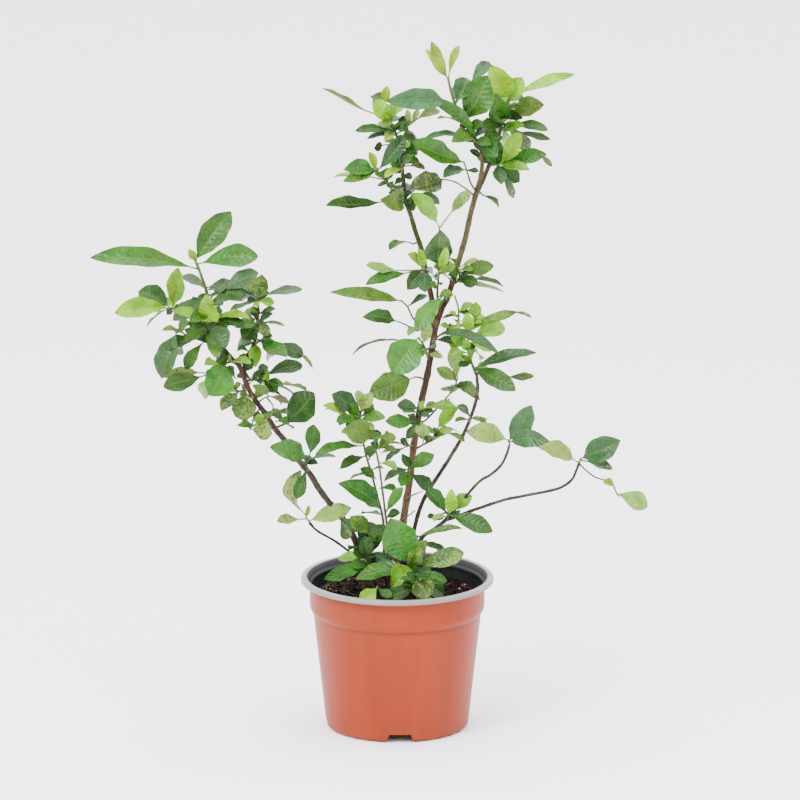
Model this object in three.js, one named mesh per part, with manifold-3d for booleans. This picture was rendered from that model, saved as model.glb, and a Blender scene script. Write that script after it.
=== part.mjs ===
// A gardenia in a nursery pot. Millimetres, +Z up, origin at the middle of the pot's foot, -Y to the viewer.
// The pot is a thin thermoformed cup. Soil fills it to 20 mm below the rim, and the woody stems stand in
// it. Leafy shoots sit on the wood, each one grown piece: a green stem with its petioles and leaf blades.
import * as THREE from 'three';
import Module from 'manifold-3d';
import { mergeVertices } from 'three/addons/utils/BufferGeometryUtils.js';

const wasm = await Module();
wasm.setup();

// Pot
const potHeight = 154;
const potWall = 1.2;
const lipRadius = 96.2;
const footRadius = 72.2;
const collarRadius = 87.3;
const notchCount = 4;
const notchHeight = 9;
const notchTopWidth = 21.5;
const notchFootWidth = 28.5;
const notchTurn = THREE.MathUtils.degToRad(2.3);
const notchShoulder = 0.75;
const notchCorner = 3;
const cutReach = 10;
const drainHoleCount = 6;
const drainHoleRadius = 5;
const drainHoleCircle = 48.5;
const drainHoleSides = 8;
const raisedFloor = 7;
const potSides = 32;

// Soil and how deep the stems stand in it
const soilTop = 134;
const rootDepth = 45;
const holeDepth = 46;

// Gap between pieces that touch
const seat = 0.3;
const holeSeat = 0.5;

// Length of stem between its rings, and how far fusing may move a surface where it tidies small triangles
const stemStep = 24;
const tidyStep = 0.15;

// Leaves
const petioleRadius = 0.9;
const bladeThickness = 0.9;
const petioleShare = 0.1;
const foldAngle = 0.32;
const waveShare = 0.05;
const longPetiole = 0.15;
const smallLeaf = 27;
const largeLeaf = 60;
const footReach = 12;
const leastLeaf = 18;
const facingSpread = 16;

// The plant was measured in a view from 15 degrees above, square to that view
const viewTilt = THREE.MathUtils.degToRad(15);

// How far a place lies behind the pot's axis. The view hides depth: heads are made about as deep as wide,
// the left stem and the right sprays come forward, and the crown is turned so that its left head does too.
function depthOf(across, up, back) {
  const { clamp, lerp, smoothstep } = THREE.MathUtils;
  const spread = lerp(1, 1.8, smoothstep(up, 150, 260));
  const leftStem = -55 * smoothstep(-across, 30, 200);
  const sprays = -45 * smoothstep(across, 40, 220) * (1 - smoothstep(up, 300, 400));
  const crown = 36 * smoothstep(up, 330, 520) * clamp((across - 45) / 55, -1, 1);
  return back * spread + leftStem + sprays + crown;
}

// A place by its distance right of the pot's axis, its height in the tilted view, and its plain depth
function seen([across, up, back]) {
  const depth = depthOf(across, up, back);
  const height = (up - depth * Math.sin(viewTilt)) / Math.cos(viewTilt);
  return new THREE.Vector3(across, depth, height);
}

// A number from 0 to 1 that depends only on a place and a salt, so each run draws the same
function draw(place, salt) {
  const wave = Math.sin(place.x * 12.9898 + place.z * 78.233 + salt * 37.719) * 43758.5453;
  return wave - Math.floor(wave);
}

// Solids

// Merges shared corners, drops triangles without area and hands the closed mesh to the boolean library
function solidOf(geometry) {
  const bare = geometry.clone();
  bare.deleteAttribute('normal');
  bare.deleteAttribute('uv');
  const merged = mergeVertices(bare, 1e-4);
  const corners = merged.index.array;
  const kept = [];
  for (let i = 0; i < corners.length; i += 3) {
    const [a, b, c] = [corners[i], corners[i + 1], corners[i + 2]];
    if (a !== b && b !== c && c !== a) {
      kept.push(a, b, c);
    }
  }
  const mesh = new wasm.Mesh({
    numProp: 3,
    vertProperties: new Float32Array(merged.attributes.position.array),
    triVerts: new Uint32Array(kept),
  });
  return new wasm.Manifold(mesh);
}

// Keeps the largest body of a cut or fused solid: scraps and sealed hollows go
function wholeBody(solid) {
  const bodies = solid.asOriginal().simplify(tidyStep).decompose();
  bodies.sort((a, b) => b.volume() - a.volume());
  return bodies[0];
}

function geometryOf(solid) {
  const mesh = solid.getMesh();
  const geometry = new THREE.BufferGeometry();
  geometry.setAttribute('position', new THREE.BufferAttribute(mesh.vertProperties, 3));
  geometry.setIndex(new THREE.BufferAttribute(mesh.triVerts, 1));
  geometry.computeVertexNormals();
  return geometry;
}

// A skin over rings of points. The first ring is closed flat, the last is a ring or a single point.
// Quads are split from the even corners, so that both faces of a thin blade are split alike.
function skin(rings) {
  const points = rings.flat();
  const sides = rings[0].length;
  const faces = [];
  const tip = rings.at(-1).length === 1;
  const fullRings = tip ? rings.length - 1 : rings.length;
  for (let ring = 0; ring + 1 < fullRings; ring += 1) {
    for (let side = 0; side < sides; side += 1) {
      const a = ring * sides + side;
      const b = ring * sides + (side + 1) % sides;
      const c = b + sides;
      const d = a + sides;
      if (side % 2 === 0) {
        faces.push(a, b, c, a, c, d);
      } else {
        faces.push(a, b, d, b, c, d);
      }
    }
  }
  const last = (fullRings - 1) * sides;
  for (let side = 1; side + 1 < sides; side += 1) {
    faces.push(0, side + 1, side);
    if (!tip) {
      faces.push(last, last + side, last + side + 1);
    }
  }
  if (tip) {
    for (let side = 0; side < sides; side += 1) {
      faces.push(last + side, last + (side + 1) % sides, last + sides);
    }
  }
  const geometry = new THREE.BufferGeometry().setFromPoints(points);
  geometry.setIndex(faces);
  return geometry;
}

// The curve through a path, and how many straight steps a stem takes along it
function stemCourse(path) {
  const curve = new THREE.CatmullRomCurve3(path.map(seen), false, 'centripetal');
  const steps = Math.max(Math.ceil(curve.getLength() / stemStep), Math.min(path.length - 1, 3));
  return { curve, steps };
}

// A round stem along a path, tapering from its first radius to its last
function stemGeometry(path, radii, sides, grow = 0) {
  const { curve, steps } = stemCourse(path);
  const frames = curve.computeFrenetFrames(steps, false);
  const rings = [];
  for (let step = 0; step <= steps; step += 1) {
    const share = step / steps;
    const centre = curve.getPointAt(share);
    const radius = THREE.MathUtils.lerp(radii[0], radii[1], share) + grow;
    const ring = [];
    for (let side = 0; side < sides; side += 1) {
      const angle = (side / sides) * 2 * Math.PI;
      const out = frames.normals[step].clone().multiplyScalar(Math.cos(angle) * radius);
      out.addScaledVector(frames.binormals[step], Math.sin(angle) * radius);
      ring.push(centre.clone().add(out));
    }
    rings.push(ring);
  }
  return skin(rings);
}

// Half the width of a gardenia leaf, as a share of its widest, from blade foot (0) to tip (1)
function leafOutline(share) {
  return Math.sin(Math.PI * share ** 1.2) ** 0.65;
}

// A leaf from its foot to its tip: a petiole that widens into a blade, folded at the midrib, arched and
// waved. facing: 0 turns its upper face up, 90 to the viewer, and below 0 its underside shows. heading turns
// it round Z.
function leafGeometry({ foot, tip, width, facing, arch, petiole, heading }) {
  const axis = tip.clone().sub(foot);
  const length = axis.length();
  axis.normalize();
  const turned = THREE.MathUtils.degToRad(facing + facingSpread * (draw(tip, 1) - 0.5));
  const round = THREE.MathUtils.degToRad(heading);
  const face = new THREE.Vector3(
    Math.sin(turned) * Math.sin(round),
    -Math.sin(turned) * Math.cos(round),
    Math.cos(turned),
  );
  face.addScaledVector(axis, -face.dot(axis)).normalize();
  const across = axis.clone().cross(face);
  const spine = (share) => {
    const bow = arch * length * 4 * share * (1 - share);
    return foot.clone().addScaledVector(axis, length * share).addScaledVector(face, bow);
  };
  const phase = draw(tip, 2);
  const ring = (centre, halfWidth, thickness, wave) => {
    const side = (sign, ripple) => centre.clone()
      .addScaledVector(across, sign * halfWidth * Math.cos(foldAngle))
      .addScaledVector(face, halfWidth * Math.sin(foldAngle) * wave + ripple * wave);
    const right = waveShare * width * Math.sin(2 * Math.PI * (phase + halfWidth / width));
    const left = waveShare * width * Math.cos(2 * Math.PI * (phase + halfWidth / width));
    return [
      centre.clone().addScaledVector(face, thickness / 2),
      side(1, right),
      centre.clone().addScaledVector(face, -thickness / 2),
      side(-1, left),
    ];
  };
  const stations = length < smallLeaf ? [0.5] : length > largeLeaf ? [0.28, 0.55, 0.8] : [0.34, 0.7];
  const rings = [ring(foot, petioleRadius, 2 * petioleRadius, 0)];
  if (length > largeLeaf || petiole > longPetiole) {
    rings.push(ring(spine(petiole), petioleRadius, bladeThickness, 0));
  }
  for (const station of stations) {
    const halfWidth = Math.max(petioleRadius, 0.5 * width * leafOutline(station));
    rings.push(ring(spine(petiole + (1 - petiole) * station), halfWidth, bladeThickness, 1));
  }
  rings.push([spine(1)]);
  return skin(rings);
}

// Tones of the leaves, the new growth palest and the old leaves darkest
const tones = {
  dark: '#2c5a33',
  teal: '#3f6b55',
  silver: '#5f8a6d',
  glaze: '#6f9c7d',
  grey: '#7c9083',
  mid: '#4f8a45',
  bright: '#4f9a3c',
  glossy: '#6fae5c',
  olive: '#7d9a48',
  light: '#93bd5c',
  lime: '#a6cc4a',
  young: '#c3d460',
  pale: '#b4c987',
  marbled: '#9dbb7a',
  cream: '#b3c88f',
  dusky: '#4d6336',
  dry: '#8b8a5c',
};
const woodTone = '#5b4234';
const shootTone = '#7f9a55';
const potTone = '#cc7152';
const soilTone = '#2a1a14';

// How rough each surface is
const potRoughness = 0.45;
const woodRoughness = 0.8;
const leafRoughness = 0.4;
const soilRoughness = 0.95;

// How much of its stem's tone a shoot shows among its leaves
const stemShare = 0.15;

const plant = new THREE.Group();

function addPiece(name, solid, tone, roughness) {
  const material = new THREE.MeshStandardMaterial({ color: tone, roughness, metalness: 0 });
  const mesh = new THREE.Mesh(geometryOf(solid), material);
  mesh.name = name;
  plant.add(mesh);
}

// Pot

// The formed foot has four notches, where its ring is pushed up to let water out
function notchCutter(grow) {
  const high = notchHeight + grow;
  const top = notchTopWidth / 2 + grow;
  const low = notchFootWidth / 2 + grow;
  const inside = drainHoleCircle + cutReach - grow;
  const outside = footRadius + cutReach;
  const shape = new THREE.Shape();
  shape.moveTo(-low, -cutReach);
  shape.lineTo(low, -cutReach);
  shape.lineTo(low, 0);
  shape.lineTo(top, high * notchShoulder);
  shape.lineTo(top - notchCorner, high);
  shape.lineTo(notchCorner - top, high);
  shape.lineTo(-top, high * notchShoulder);
  shape.lineTo(-low, 0);
  const geometry = new THREE.ExtrudeGeometry(shape, { depth: outside - inside, bevelEnabled: false });
  geometry.translate(0, 0, inside);
  geometry.rotateX(Math.PI / 2);
  const cutters = [];
  for (let notch = 0; notch < notchCount; notch += 1) {
    const turned = geometry.clone().rotateZ(notchTurn + (notch / notchCount) * 2 * Math.PI);
    cutters.push(solidOf(turned));
  }
  return wasm.Manifold.union(cutters);
}

function turnedGeometry(profile) {
  const points = profile.map(([radius, height]) => new THREE.Vector2(radius, height));
  const geometry = new THREE.LatheGeometry(points, potSides, Math.PI / potSides);
  geometry.rotateX(Math.PI / 2);
  return geometry;
}

const outerProfile = [
  [0, 0], [34, 0], [37, raisedFloor], [60, raisedFloor], [62.5, 0], [68, 0], [71.4, 3.4],
  [83.6, 115.5], [collarRadius, 122], [87.5, 147], [90, 152.4],
  [94.8, 152.4], [94.8, 149.6], [lipRadius, 149.6], [lipRadius, 152.8], [95, potHeight], [0, potHeight],
];
const cavityProfile = [
  [0, potWall], [33.2, potWall], [36.2, 8.2], [60.8, 8.2], [63.3, potWall], [67.4, potWall], [70.2, 4],
  [82.4, 115.9], [86.1, 122.5], [86.3, 147], [88.6, 152.8], [90.6, potHeight + 5], [0, potHeight + 5],
];

const drainHole = new THREE.CylinderGeometry(drainHoleRadius, drainHoleRadius, cutReach, drainHoleSides);
drainHole.rotateX(Math.PI / 2);
const drainHoles = [];
for (let hole = 0; hole < drainHoleCount; hole += 1) {
  const angle = ((hole + 0.5) / drainHoleCount) * 2 * Math.PI;
  const placed = drainHole.clone();
  placed.translate(drainHoleCircle * Math.cos(angle), drainHoleCircle * Math.sin(angle), raisedFloor);
  drainHoles.push(solidOf(placed));
}
const potBody = solidOf(turnedGeometry(outerProfile)).subtract(notchCutter(0));
const potCavity = solidOf(turnedGeometry(cavityProfile)).subtract(notchCutter(potWall));
const pot = potBody.subtract(potCavity).subtract(wasm.Manifold.union(drainHoles));
addPiece('pot', wholeBody(pot), potTone, potRoughness);

// Wood: each stem rises from the soil. Places are across, up and back, as in seen()
const woods = {
  main_stem: [
    {
      path: [
        [-4, 132, 10], [-1, 160, 10], [6, 204, 9], [11, 234, 7], [16, 274, 4], [20.5, 304, 2], [24.5, 324, 1],
        [29, 344, 0], [33, 366, 0], [36, 384, 0], [39, 399, 0], [44, 414, 0], [49, 424, 1], [56, 444, 2],
        [60, 459, 3], [64, 472, 4], [68, 486, 5], [73, 509, 5], [78, 529, 5],
      ],
      radii: [4.2, 2.8],
      sides: 7,
      rooted: true,
    },
    { path: [[77, 525, 5], [84, 552, 3], [83, 578, 0]], radii: [2.6, 1.9], sides: 6 },
    { path: [[78, 527, 5], [90, 554, 7], [98, 575, 8], [103, 594, 8]], radii: [2.6, 1.9], sides: 6 },
    {
      path: [
        [37, 394, 0], [34, 426, 4], [31, 439, 7], [26, 464, 11], [24, 474, 13], [19, 489, 14], [13, 509, 16],
        [8, 524, 17], [6, 544, 18], [4, 564, 18],
      ],
      radii: [3.2, 2.0],
      sides: 6,
    },
    { path: [[9, 226, 4], [17, 230, -8], [25, 233, -14]], radii: [1, 0.7], sides: 4 },
    { path: [[3, 203, 6], [10, 208, -4], [18, 214, -10]], radii: [1, 0.7], sides: 4 },
  ],
  left_stem: [
    {
      path: [
        [-31, 133, 15], [-34, 156, 15], [-39, 176, 15], [-47, 194, 14], [-57, 209, 13], [-68, 222, 12],
        [-79, 237, 10], [-86, 249, 9], [-94, 259, 8], [-100, 266, 7], [-112, 284, 5], [-122, 296, 4],
        [-130, 309, 3], [-139, 321, 2], [-147, 334, 0], [-152, 346, -1], [-157, 358, -2], [-165, 366, -2],
        [-175, 379, 0], [-187, 399, 2],
      ],
      radii: [3.8, 2.3],
      sides: 6,
      rooted: true,
    },
    {
      path: [
        [-152, 350, -2], [-150, 366, 2], [-145, 374, 5], [-141, 384, 8], [-139, 399, 10], [-138, 420, 12],
      ],
      radii: [2.2, 1.6],
      sides: 5,
    },
  ],
  right_stem: [
    {
      path: [
        [9, 132, 30], [14, 170, 24], [17, 195, 20], [24, 219, 16], [30, 231, 14], [36, 241, 12], [54, 269, 6],
        [67, 292, 0], [76, 315, -6], [80, 333, -10], [79, 351, -14],
      ],
      radii: [2.6, 1.7],
      sides: 6,
      rooted: true,
    },
  ],
  spray_stem: [
    {
      path: [[17, 131, -4], [21, 160, -8], [24, 186, -12], [38, 196, -14], [50, 206, -15]],
      radii: [2.6, 2.1],
      sides: 5,
      rooted: true,
    },
    {
      path: [
        [48, 204, -15], [58, 216, -17], [69, 229, -19], [83, 244, -22], [93, 250, -23], [103, 259, -24],
        [109, 271, -25], [111, 278, -25],
      ],
      radii: [1.7, 1.4],
      sides: 5,
    },
    {
      path: [
        [48, 204, -15], [75, 214, -12], [108, 225, -6], [123, 228, -2], [153, 234, 4], [165, 238, 6],
        [174, 245, 8], [178, 253, 9], [181, 261, 10],
      ],
      radii: [1.8, 1.4],
      sides: 5,
    },
  ],
  low_left_stem: [
    {
      path: [
        [-20, 138, 35], [-32, 156, 33], [-45, 170, 30], [-62, 183, 26], [-79, 193, 22], [-88, 201, 20],
      ],
      radii: [1.6, 1.2],
      sides: 5,
      rooted: true,
    },
  ],
};

// A rooted stem first goes straight down into its hole in the soil
function buried(stem, depth) {
  if (!stem.rooted) {
    return stem.path;
  }
  const [across, up, back] = stem.path[0];
  const drop = depth * Math.cos(viewTilt);
  return [[across, up - drop, back], [across, up - drop / 2, back], ...stem.path];
}

function stemSolid(stem, grow = 0, depth = rootDepth) {
  return solidOf(stemGeometry(buried(stem, depth), stem.radii, stem.sides ?? 4, grow));
}

// A leaf grows from the middle of the nearest stem of its shoot
function rootedFoot(place, stems) {
  let root = place;
  let reach = footReach;
  for (const stem of stems) {
    const { curve, steps } = stemCourse(buried(stem, rootDepth));
    const centres = curve.getSpacedPoints(steps);
    for (let step = 0; step < steps; step += 1) {
      const piece = new THREE.Line3(centres[step], centres[step + 1]);
      const nearest = piece.closestPointToPoint(place, true, new THREE.Vector3());
      if (nearest.distanceTo(place) < reach) {
        root = nearest;
        reach = nearest.distanceTo(place);
      }
    }
  }
  return root;
}

// A leaf row is foot, tip, width, facing, arch, tone, and the petiole's share and the heading where they
// matter
function leafOf(row, stems) {
  const [footPlace, tipPlace, width, facing, arch, tone, petiole = petioleShare, heading = 0] = row;
  const foot = rootedFoot(seen(footPlace), stems);
  const tip = seen(tipPlace);
  return leafGeometry({ foot, tip, width, facing, arch, petiole, heading });
}

// Leafy shoots, each one grown piece. The first stem of a shoot starts inside the wood that carries it.
const shoots = {
  left_top_shoot: {
    stems: [{ path: [[-187, 397, 2], [-188, 427, 2], [-194, 447, 1], [-200, 463, 0]], radii: [1.9, 1.5] }],
    leaves: [
      [[-199, 452, 0], [-302, 466, -16], 23, 42, 0.15, 'mid', 0.12],
      [[-199, 463, 1], [-165, 511, 8], 28, 68, 0.06, 'mid', 0.06],
      [[-196, 458, 0], [-138, 467, -14], 25, 58, 0.02, 'mid', 0.08],
      [[-202, 461, 0], [-206, 473, -1], 9, 80, 0.05, 'young'],
      [[-191, 434, 2], [-213, 448, 12], 12, 30, 0.05, 'grey'],
      [[-190, 424, 2], [-222, 403, -10], 20, 58, 0.08, 'teal'],
      [[-190, 432, 2], [-172, 428, 24], 15, 40, 0.05, 'dark'],
      [[-188, 420, 2], [-206, 414, 34], 17, -20, 0.1, 'dark'],
      [[-189, 436, 2], [-158, 437, 22], 15, 30, 0.05, 'teal'],
    ],
  },
  left_outer_shoot: {
    stems: [
      { path: [[-179, 386, 1], [-190, 396, 10], [-206, 407, 12], [-226, 416, 12]], radii: [1.5, 1.1] },
    ],
    leaves: [
      [[-225, 416, 12], [-279, 412, 0], 22, 52, 0.06, 'lime', 0.08],
      [[-223, 416, 12], [-217, 454, 14], 20, 74, 0.08, 'lime'],
      [[-224, 417, 12], [-257, 433, 24], 24, 50, 0.08, 'dark'],
      [[-226, 415, 12], [-249, 397, 16], 10, 10, 0.05, 'young'],
      [[-206, 407, 8], [-214, 420, 30], 16, 30, 0.06, 'dark'],
      [[-212, 410, 10], [-196, 402, 44], 16, -20, 0.1, 'teal'],
      [[-200, 403, 11], [-203, 427, 2], 16, 60, 0.08, 'dark'],
    ],
  },
  left_centre_shoot: {
    stems: [
      { path: [[-184, 392, 1], [-187, 398, -10], [-186, 412, -16], [-183, 430, -14]], radii: [1.5, 1.1] },
    ],
    leaves: [
      [[-188, 400, -12], [-188, 428, -24], 22, 70, 0.1, 'lime', 0.06],
      [[-186, 402, -13], [-145, 405, -26], 13, 22, 0.1, 'lime'],
      [[-183, 429, -14], [-138, 451, -20], 22, 36, 0.04, 'teal', 0.2],
      [[-187, 399, -11], [-169, 377, -26], 25, 66, 0.08, 'teal', 0.1],
      [[-188, 398, -11], [-210, 382, -28], 16, 55, 0.08, 'dark'],
      [[-184, 418, -15], [-164, 424, -34], 13, 50, 0.1, 'dark'],
      [[-186, 408, -15], [-206, 401, -34], 14, 50, 0.06, 'mid'],
      [[-187, 402, -11], [-222, 412, -22], 15, 48, 0.06, 'light'],
      [[-185, 405, -13], [-150, 397, -28], 15, 40, 0.04, 'dark'],
      [[-185, 397, -8], [-178, 365, -24], 17, 70, 0.06, 'olive'],
      [[-183, 428, -14], [-149, 428, -24], 18, 55, 0.05, 'dark', 0.2],
    ],
  },
  left_fork_head: {
    stems: [{ path: [[-138, 417, 12], [-139, 424, 12], [-140, 430, 12]], radii: [1.4, 1.1] }],
    leaves: [
      [[-140, 427, 12], [-134, 448, 8], 21, 72, 0.06, 'marbled', 0.06],
      [[-138, 426, 12], [-94, 434, 4], 12, 20, 0, 'grey', 0.2],
      [[-138, 423, 12], [-122, 420, 4], 10, 45, 0.05, 'light'],
      [[-141, 425, 12], [-179, 427, 30], 15, 12, 0.13, 'grey'],
      [[-141, 422, 12], [-165, 414, 2], 12, 8, 0.03, 'dark'],
      [[-140, 428, 12], [-152, 441, 26], 15, 40, 0.06, 'mid'],
      [[-138, 424, 12], [-154, 424, 34], 16, 30, 0.05, 'dark'],
      [[-138, 421, 12], [-146, 407, 34], 15, 60, 0.05, 'teal'],
    ],
  },
  left_fork_shoot: {
    stems: [{ path: [[-139, 400, 10], [-138, 402, 2], [-138, 400, -4]], radii: [1.3, 1.1] }],
    leaves: [
      [[-138, 401, -2], [-111, 398, -12], 7, 20, 0.04, 'dry'],
      [[-138, 401, -3], [-124, 410, -12], 9, 45, 0.03, 'dark'],
      [[-138, 400, -4], [-127, 388, -12], 12, 68, 0.06, 'marbled'],
      [[-139, 400, -4], [-152, 384, -14], 19, 68, 0.08, 'dark'],
      [[-139, 401, -3], [-160, 396, -12], 13, 60, 0.08, 'mid'],
    ],
  },
  left_right_shoot: {
    stems: [{ path: [[-143, 378, 7], [-136, 383, 2], [-130, 386, 0]], radii: [1.4, 1.1] }],
    leaves: [
      [[-131, 386, 0], [-92, 369, -6], 17, 48, 0.02, 'teal', 0.25],
      [[-137, 382, 2], [-110, 368, -20], 20, 58, 0.05, 'mid'],
      [[-140, 380, 4], [-141, 357, -8], 14, 74, 0.08, 'lime'],
      [[-138, 381, 3], [-160, 374, 22], 16, 60, 0.05, 'mid'],
      [[-133, 384, 1], [-126, 366, 22], 15, 60, 0.05, 'dark'],
    ],
  },
  left_elbow_shoot: {
    stems: [{ path: [[-150, 343, 0], [-140, 345, 4], [-132, 343, 6], [-126, 340, 6]], radii: [1.4, 1] }],
    leaves: [
      [[-137, 345, 5], [-94, 359, 14], 16, 52, 0.02, 'dark', 0.2],
      [[-130, 343, 6], [-127, 353, 0], 9, 50, 0.05, 'lime'],
      [[-134, 344, 6], [-119, 332, 0], 15, 52, 0.06, 'dark'],
      [[-126, 340, 6], [-90, 333, 14], 13, 12, 0.06, 'light', 0.25],
      [[-127, 340, 6], [-100, 328, 16], 10, 15, 0.04, 'dark'],
      [[-138, 345, 5], [-150, 336, 30], 14, 50, 0.05, 'olive'],
      [[-141, 345, 3], [-128, 332, 30], 15, 60, 0.05, 'teal'],
    ],
  },
  left_dark_leaf_shoot: {
    stems: [{ path: [[-122, 296, 4], [-115, 299, 6], [-110, 301, 6]], radii: [1.3, 1.1] }],
    leaves: [
      [[-112, 301, 6], [-83, 331, -2], 33, 68, 0.05, 'dark', 0.06],
      [[-112, 300, 6], [-124, 316, 20], 10, 55, 0.06, 'olive'],
      [[-112, 300, 6], [-104, 295, 16], 6, 20, 0.03, 'dark'],
    ],
  },
  left_inner_twig: {
    stems: [
      { path: [[-139, 321, 2], [-132, 326, -6], [-127, 328, -9]], radii: [1, 0.8] },
      { path: [[-130, 327, -7], [-123, 317, -10], [-126, 306, -12]], radii: [0.9, 0.7] },
    ],
    leaves: [
      [[-127, 328, -9], [-107, 321, -14], 9, 30, 0.05, 'dry'],
      [[-128, 328, -8], [-141, 338, -22], 10, 65, 0.08, 'olive'],
    ],
  },
  left_low_twigs: {
    stems: [
      { path: [[-175, 379, 0], [-190, 382, -8], [-206, 387, -12], [-225, 398, -12]], radii: [1.2, 0.8] },
    ],
    leaves: [
      [[-216, 392, -12], [-233, 393, -8], 9, 35, 0.03, 'olive'],
      [[-200, 385, -10], [-232, 376, -20], 15, 40, 0.05, 'dark'],
      [[-217, 394, -12], [-233, 345, -22], 24, 60, 0.12, 'teal', 0.1],
      [[-192, 383, -8], [-210, 355, -16], 14, 58, 0.08, 'mid'],
      [[-205, 387, -11], [-214, 371, 12], 15, 50, 0.05, 'dark'],
    ],
  },
  left_round_leaves: {
    stems: [
      { path: [[-160, 362, -2], [-168, 361, -12], [-176, 355, -16], [-184, 350, -14]], radii: [1.4, 1] },
    ],
    leaves: [
      [[-170, 361, -13], [-186, 329, -26], 34, 78, 0.06, 'bright', 0.04],
      [[-184, 350, -14], [-232, 348, -18], 12, 50, 0.04, 'marbled', 0.28],
      [[-178, 354, -16], [-195, 327, -2], 17, 62, 0.05, 'light', 0.15],
      [[-176, 356, -16], [-160, 346, -2], 14, 60, 0.05, 'dark'],
      [[-184, 350, -14], [-231, 338, -30], 20, 56, 0.04, 'dark', 0.25],
    ],
  },
  left_spotted_leaves: {
    stems: [{ path: [[-147, 334, 0], [-156, 333, 6], [-172, 333, 8]], radii: [1, 0.8] }],
    leaves: [
      [[-170, 333, 8], [-178, 342, 14], 9, 60, 0.06, 'dark'],
      [[-156, 333, 6], [-174, 313, -4], 16, 60, 0.06, 'marbled'],
      [[-166, 333, 8], [-184, 334, 30], 14, 40, 0.05, 'dark'],
      [[-153, 333, 5], [-152, 303, -2], 26, 66, 0.06, 'marbled', 0.15],
    ],
  },
  left_marbled_twig: {
    stems: [{ path: [[-136, 316, 2], [-142, 308, -4], [-144, 301, -6], [-146, 294, -6]], radii: [1, 0.8] }],
    leaves: [
      [[-146, 296, -6], [-124, 291, -12], 19, 60, 0.05, 'marbled'],
      [[-143, 303, -5], [-132, 308, -14], 9, 60, 0.06, 'light'],
      [[-146, 296, -6], [-160, 299, 8], 10, 30, 0.03, 'olive'],
    ],
  },
  left_mid_shoot: {
    stems: [{ path: [[-88, 251, 9], [-90, 258, 2], [-89, 266, 0]], radii: [1.3, 1.1] }],
    leaves: [
      [[-90, 264, 0], [-124, 278, -10], 22, 66, 0.1, 'glossy', 0.06],
      [[-89, 265, 0], [-83, 300, -4], 17, 74, 0.06, 'mid', 0.2],
      [[-89, 264, 0], [-61, 268, -6], 12, 24, 0.03, 'grey'],
      [[-89, 262, 0], [-104, 271, 24], 14, 30, 0.05, 'dark'],
      [[-93, 262, 6], [-101, 226, -2], 14, 66, 0.08, 'dark'],
    ],
  },
  left_foot_shoot: {
    stems: [{ path: [[-56, 208, 13], [-56, 207, 6], [-57, 206, 4]], radii: [1.3, 1.1] }],
    leaves: [
      [[-57, 206, 4], [-49, 185, 2], 13, 78, 0.08, 'grey'],
      [[-55, 208, 6], [-38, 193, -4], 14, 58, 0.08, 'teal'],
    ],
  },
  low_left_leaves: {
    stems: [{ path: [[-84, 198, 21], [-90, 206, 19], [-92, 211, 18]], radii: [1.1, 0.8] }],
    leaves: [
      [[-91, 209, 18], [-97, 254, 16], 25, 86, 0.2, 'marbled', 0.06, -60],
      [[-90, 207, 19], [-88, 219, 14], 5, 80, 0.06, 'young'],
      [[-88, 204, 20], [-46, 217, 8], 19, 62, 0.1, 'pale', 0.08],
      [[-90, 206, 19], [-120, 203, 26], 14, 52, -0.02, 'pale', 0.3],
    ],
  },
  middle_stem_left: {
    stems: [
      {
        path: [
          [-10, 127, -12], [-13, 165, -12], [-14, 204, -12], [-20, 229, -12], [-25, 249, -12],
          [-31, 269, -12], [-34, 284, -12], [-37, 298, -12], [-36, 313, -12],
        ],
        radii: [1.8, 1.1],
        rooted: true,
      },
    ],
    leaves: [
      [[-14, 212, -12], [-57, 241, -18], 24, 62, 0.14, 'mid', 0.1],
      [[-14, 209, -12], [-36, 211, 6], 13, 10, 0.04, 'dark'],
      [[-25, 250, -12], [-47, 246, -20], 10, 6, 0.07, 'olive'],
      [[-31, 269, -12], [-57, 257, -20], 13, 24, 0.04, 'dark'],
      [[-33, 278, -12], [-81, 272, -22], 16, 26, 0.05, 'mid', 0.08],
      [[-36, 300, -12], [-73, 319, -16], 13, 26, 0.03, 'young', 0.3],
      [[-37, 304, -12], [-13, 308, -24], 14, 40, 0.08, 'bright'],
      [[-36, 312, -12], [-65, 330, -10], 21, 58, 0.06, 'teal', 0.16],
      [[-37, 308, -12], [-72, 317, 4], 14, 16, 0.03, 'dark'],
      [[-36, 313, -12], [-25, 332, -16], 14, 60, 0.06, 'pale'],
      [[-36, 313, -12], [-39, 334, -4], 10, 60, 0.06, 'pale'],
      [[-36, 310, -12], [-50, 318, 8], 15, 40, 0.05, 'dark'],
      [[-37, 300, -12], [-58, 300, 26], 18, -15, 0.1, 'dark'],
      [[-37, 300, -12], [-48, 296, 4], 15, 50, 0.05, 'teal'],
      [[-36, 305, -12], [-60, 302, -26], 16, 48, 0.05, 'bright'],
    ],
  },
  middle_stem_right: {
    stems: [
      {
        path: [
          [-1, 128, -8], [-6, 165, -22], [-11, 204, -24], [-14, 229, -24], [-18, 259, -26],
          [-22, 279, -28], [-23, 289, -28],
        ],
        radii: [1.7, 1.1],
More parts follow.
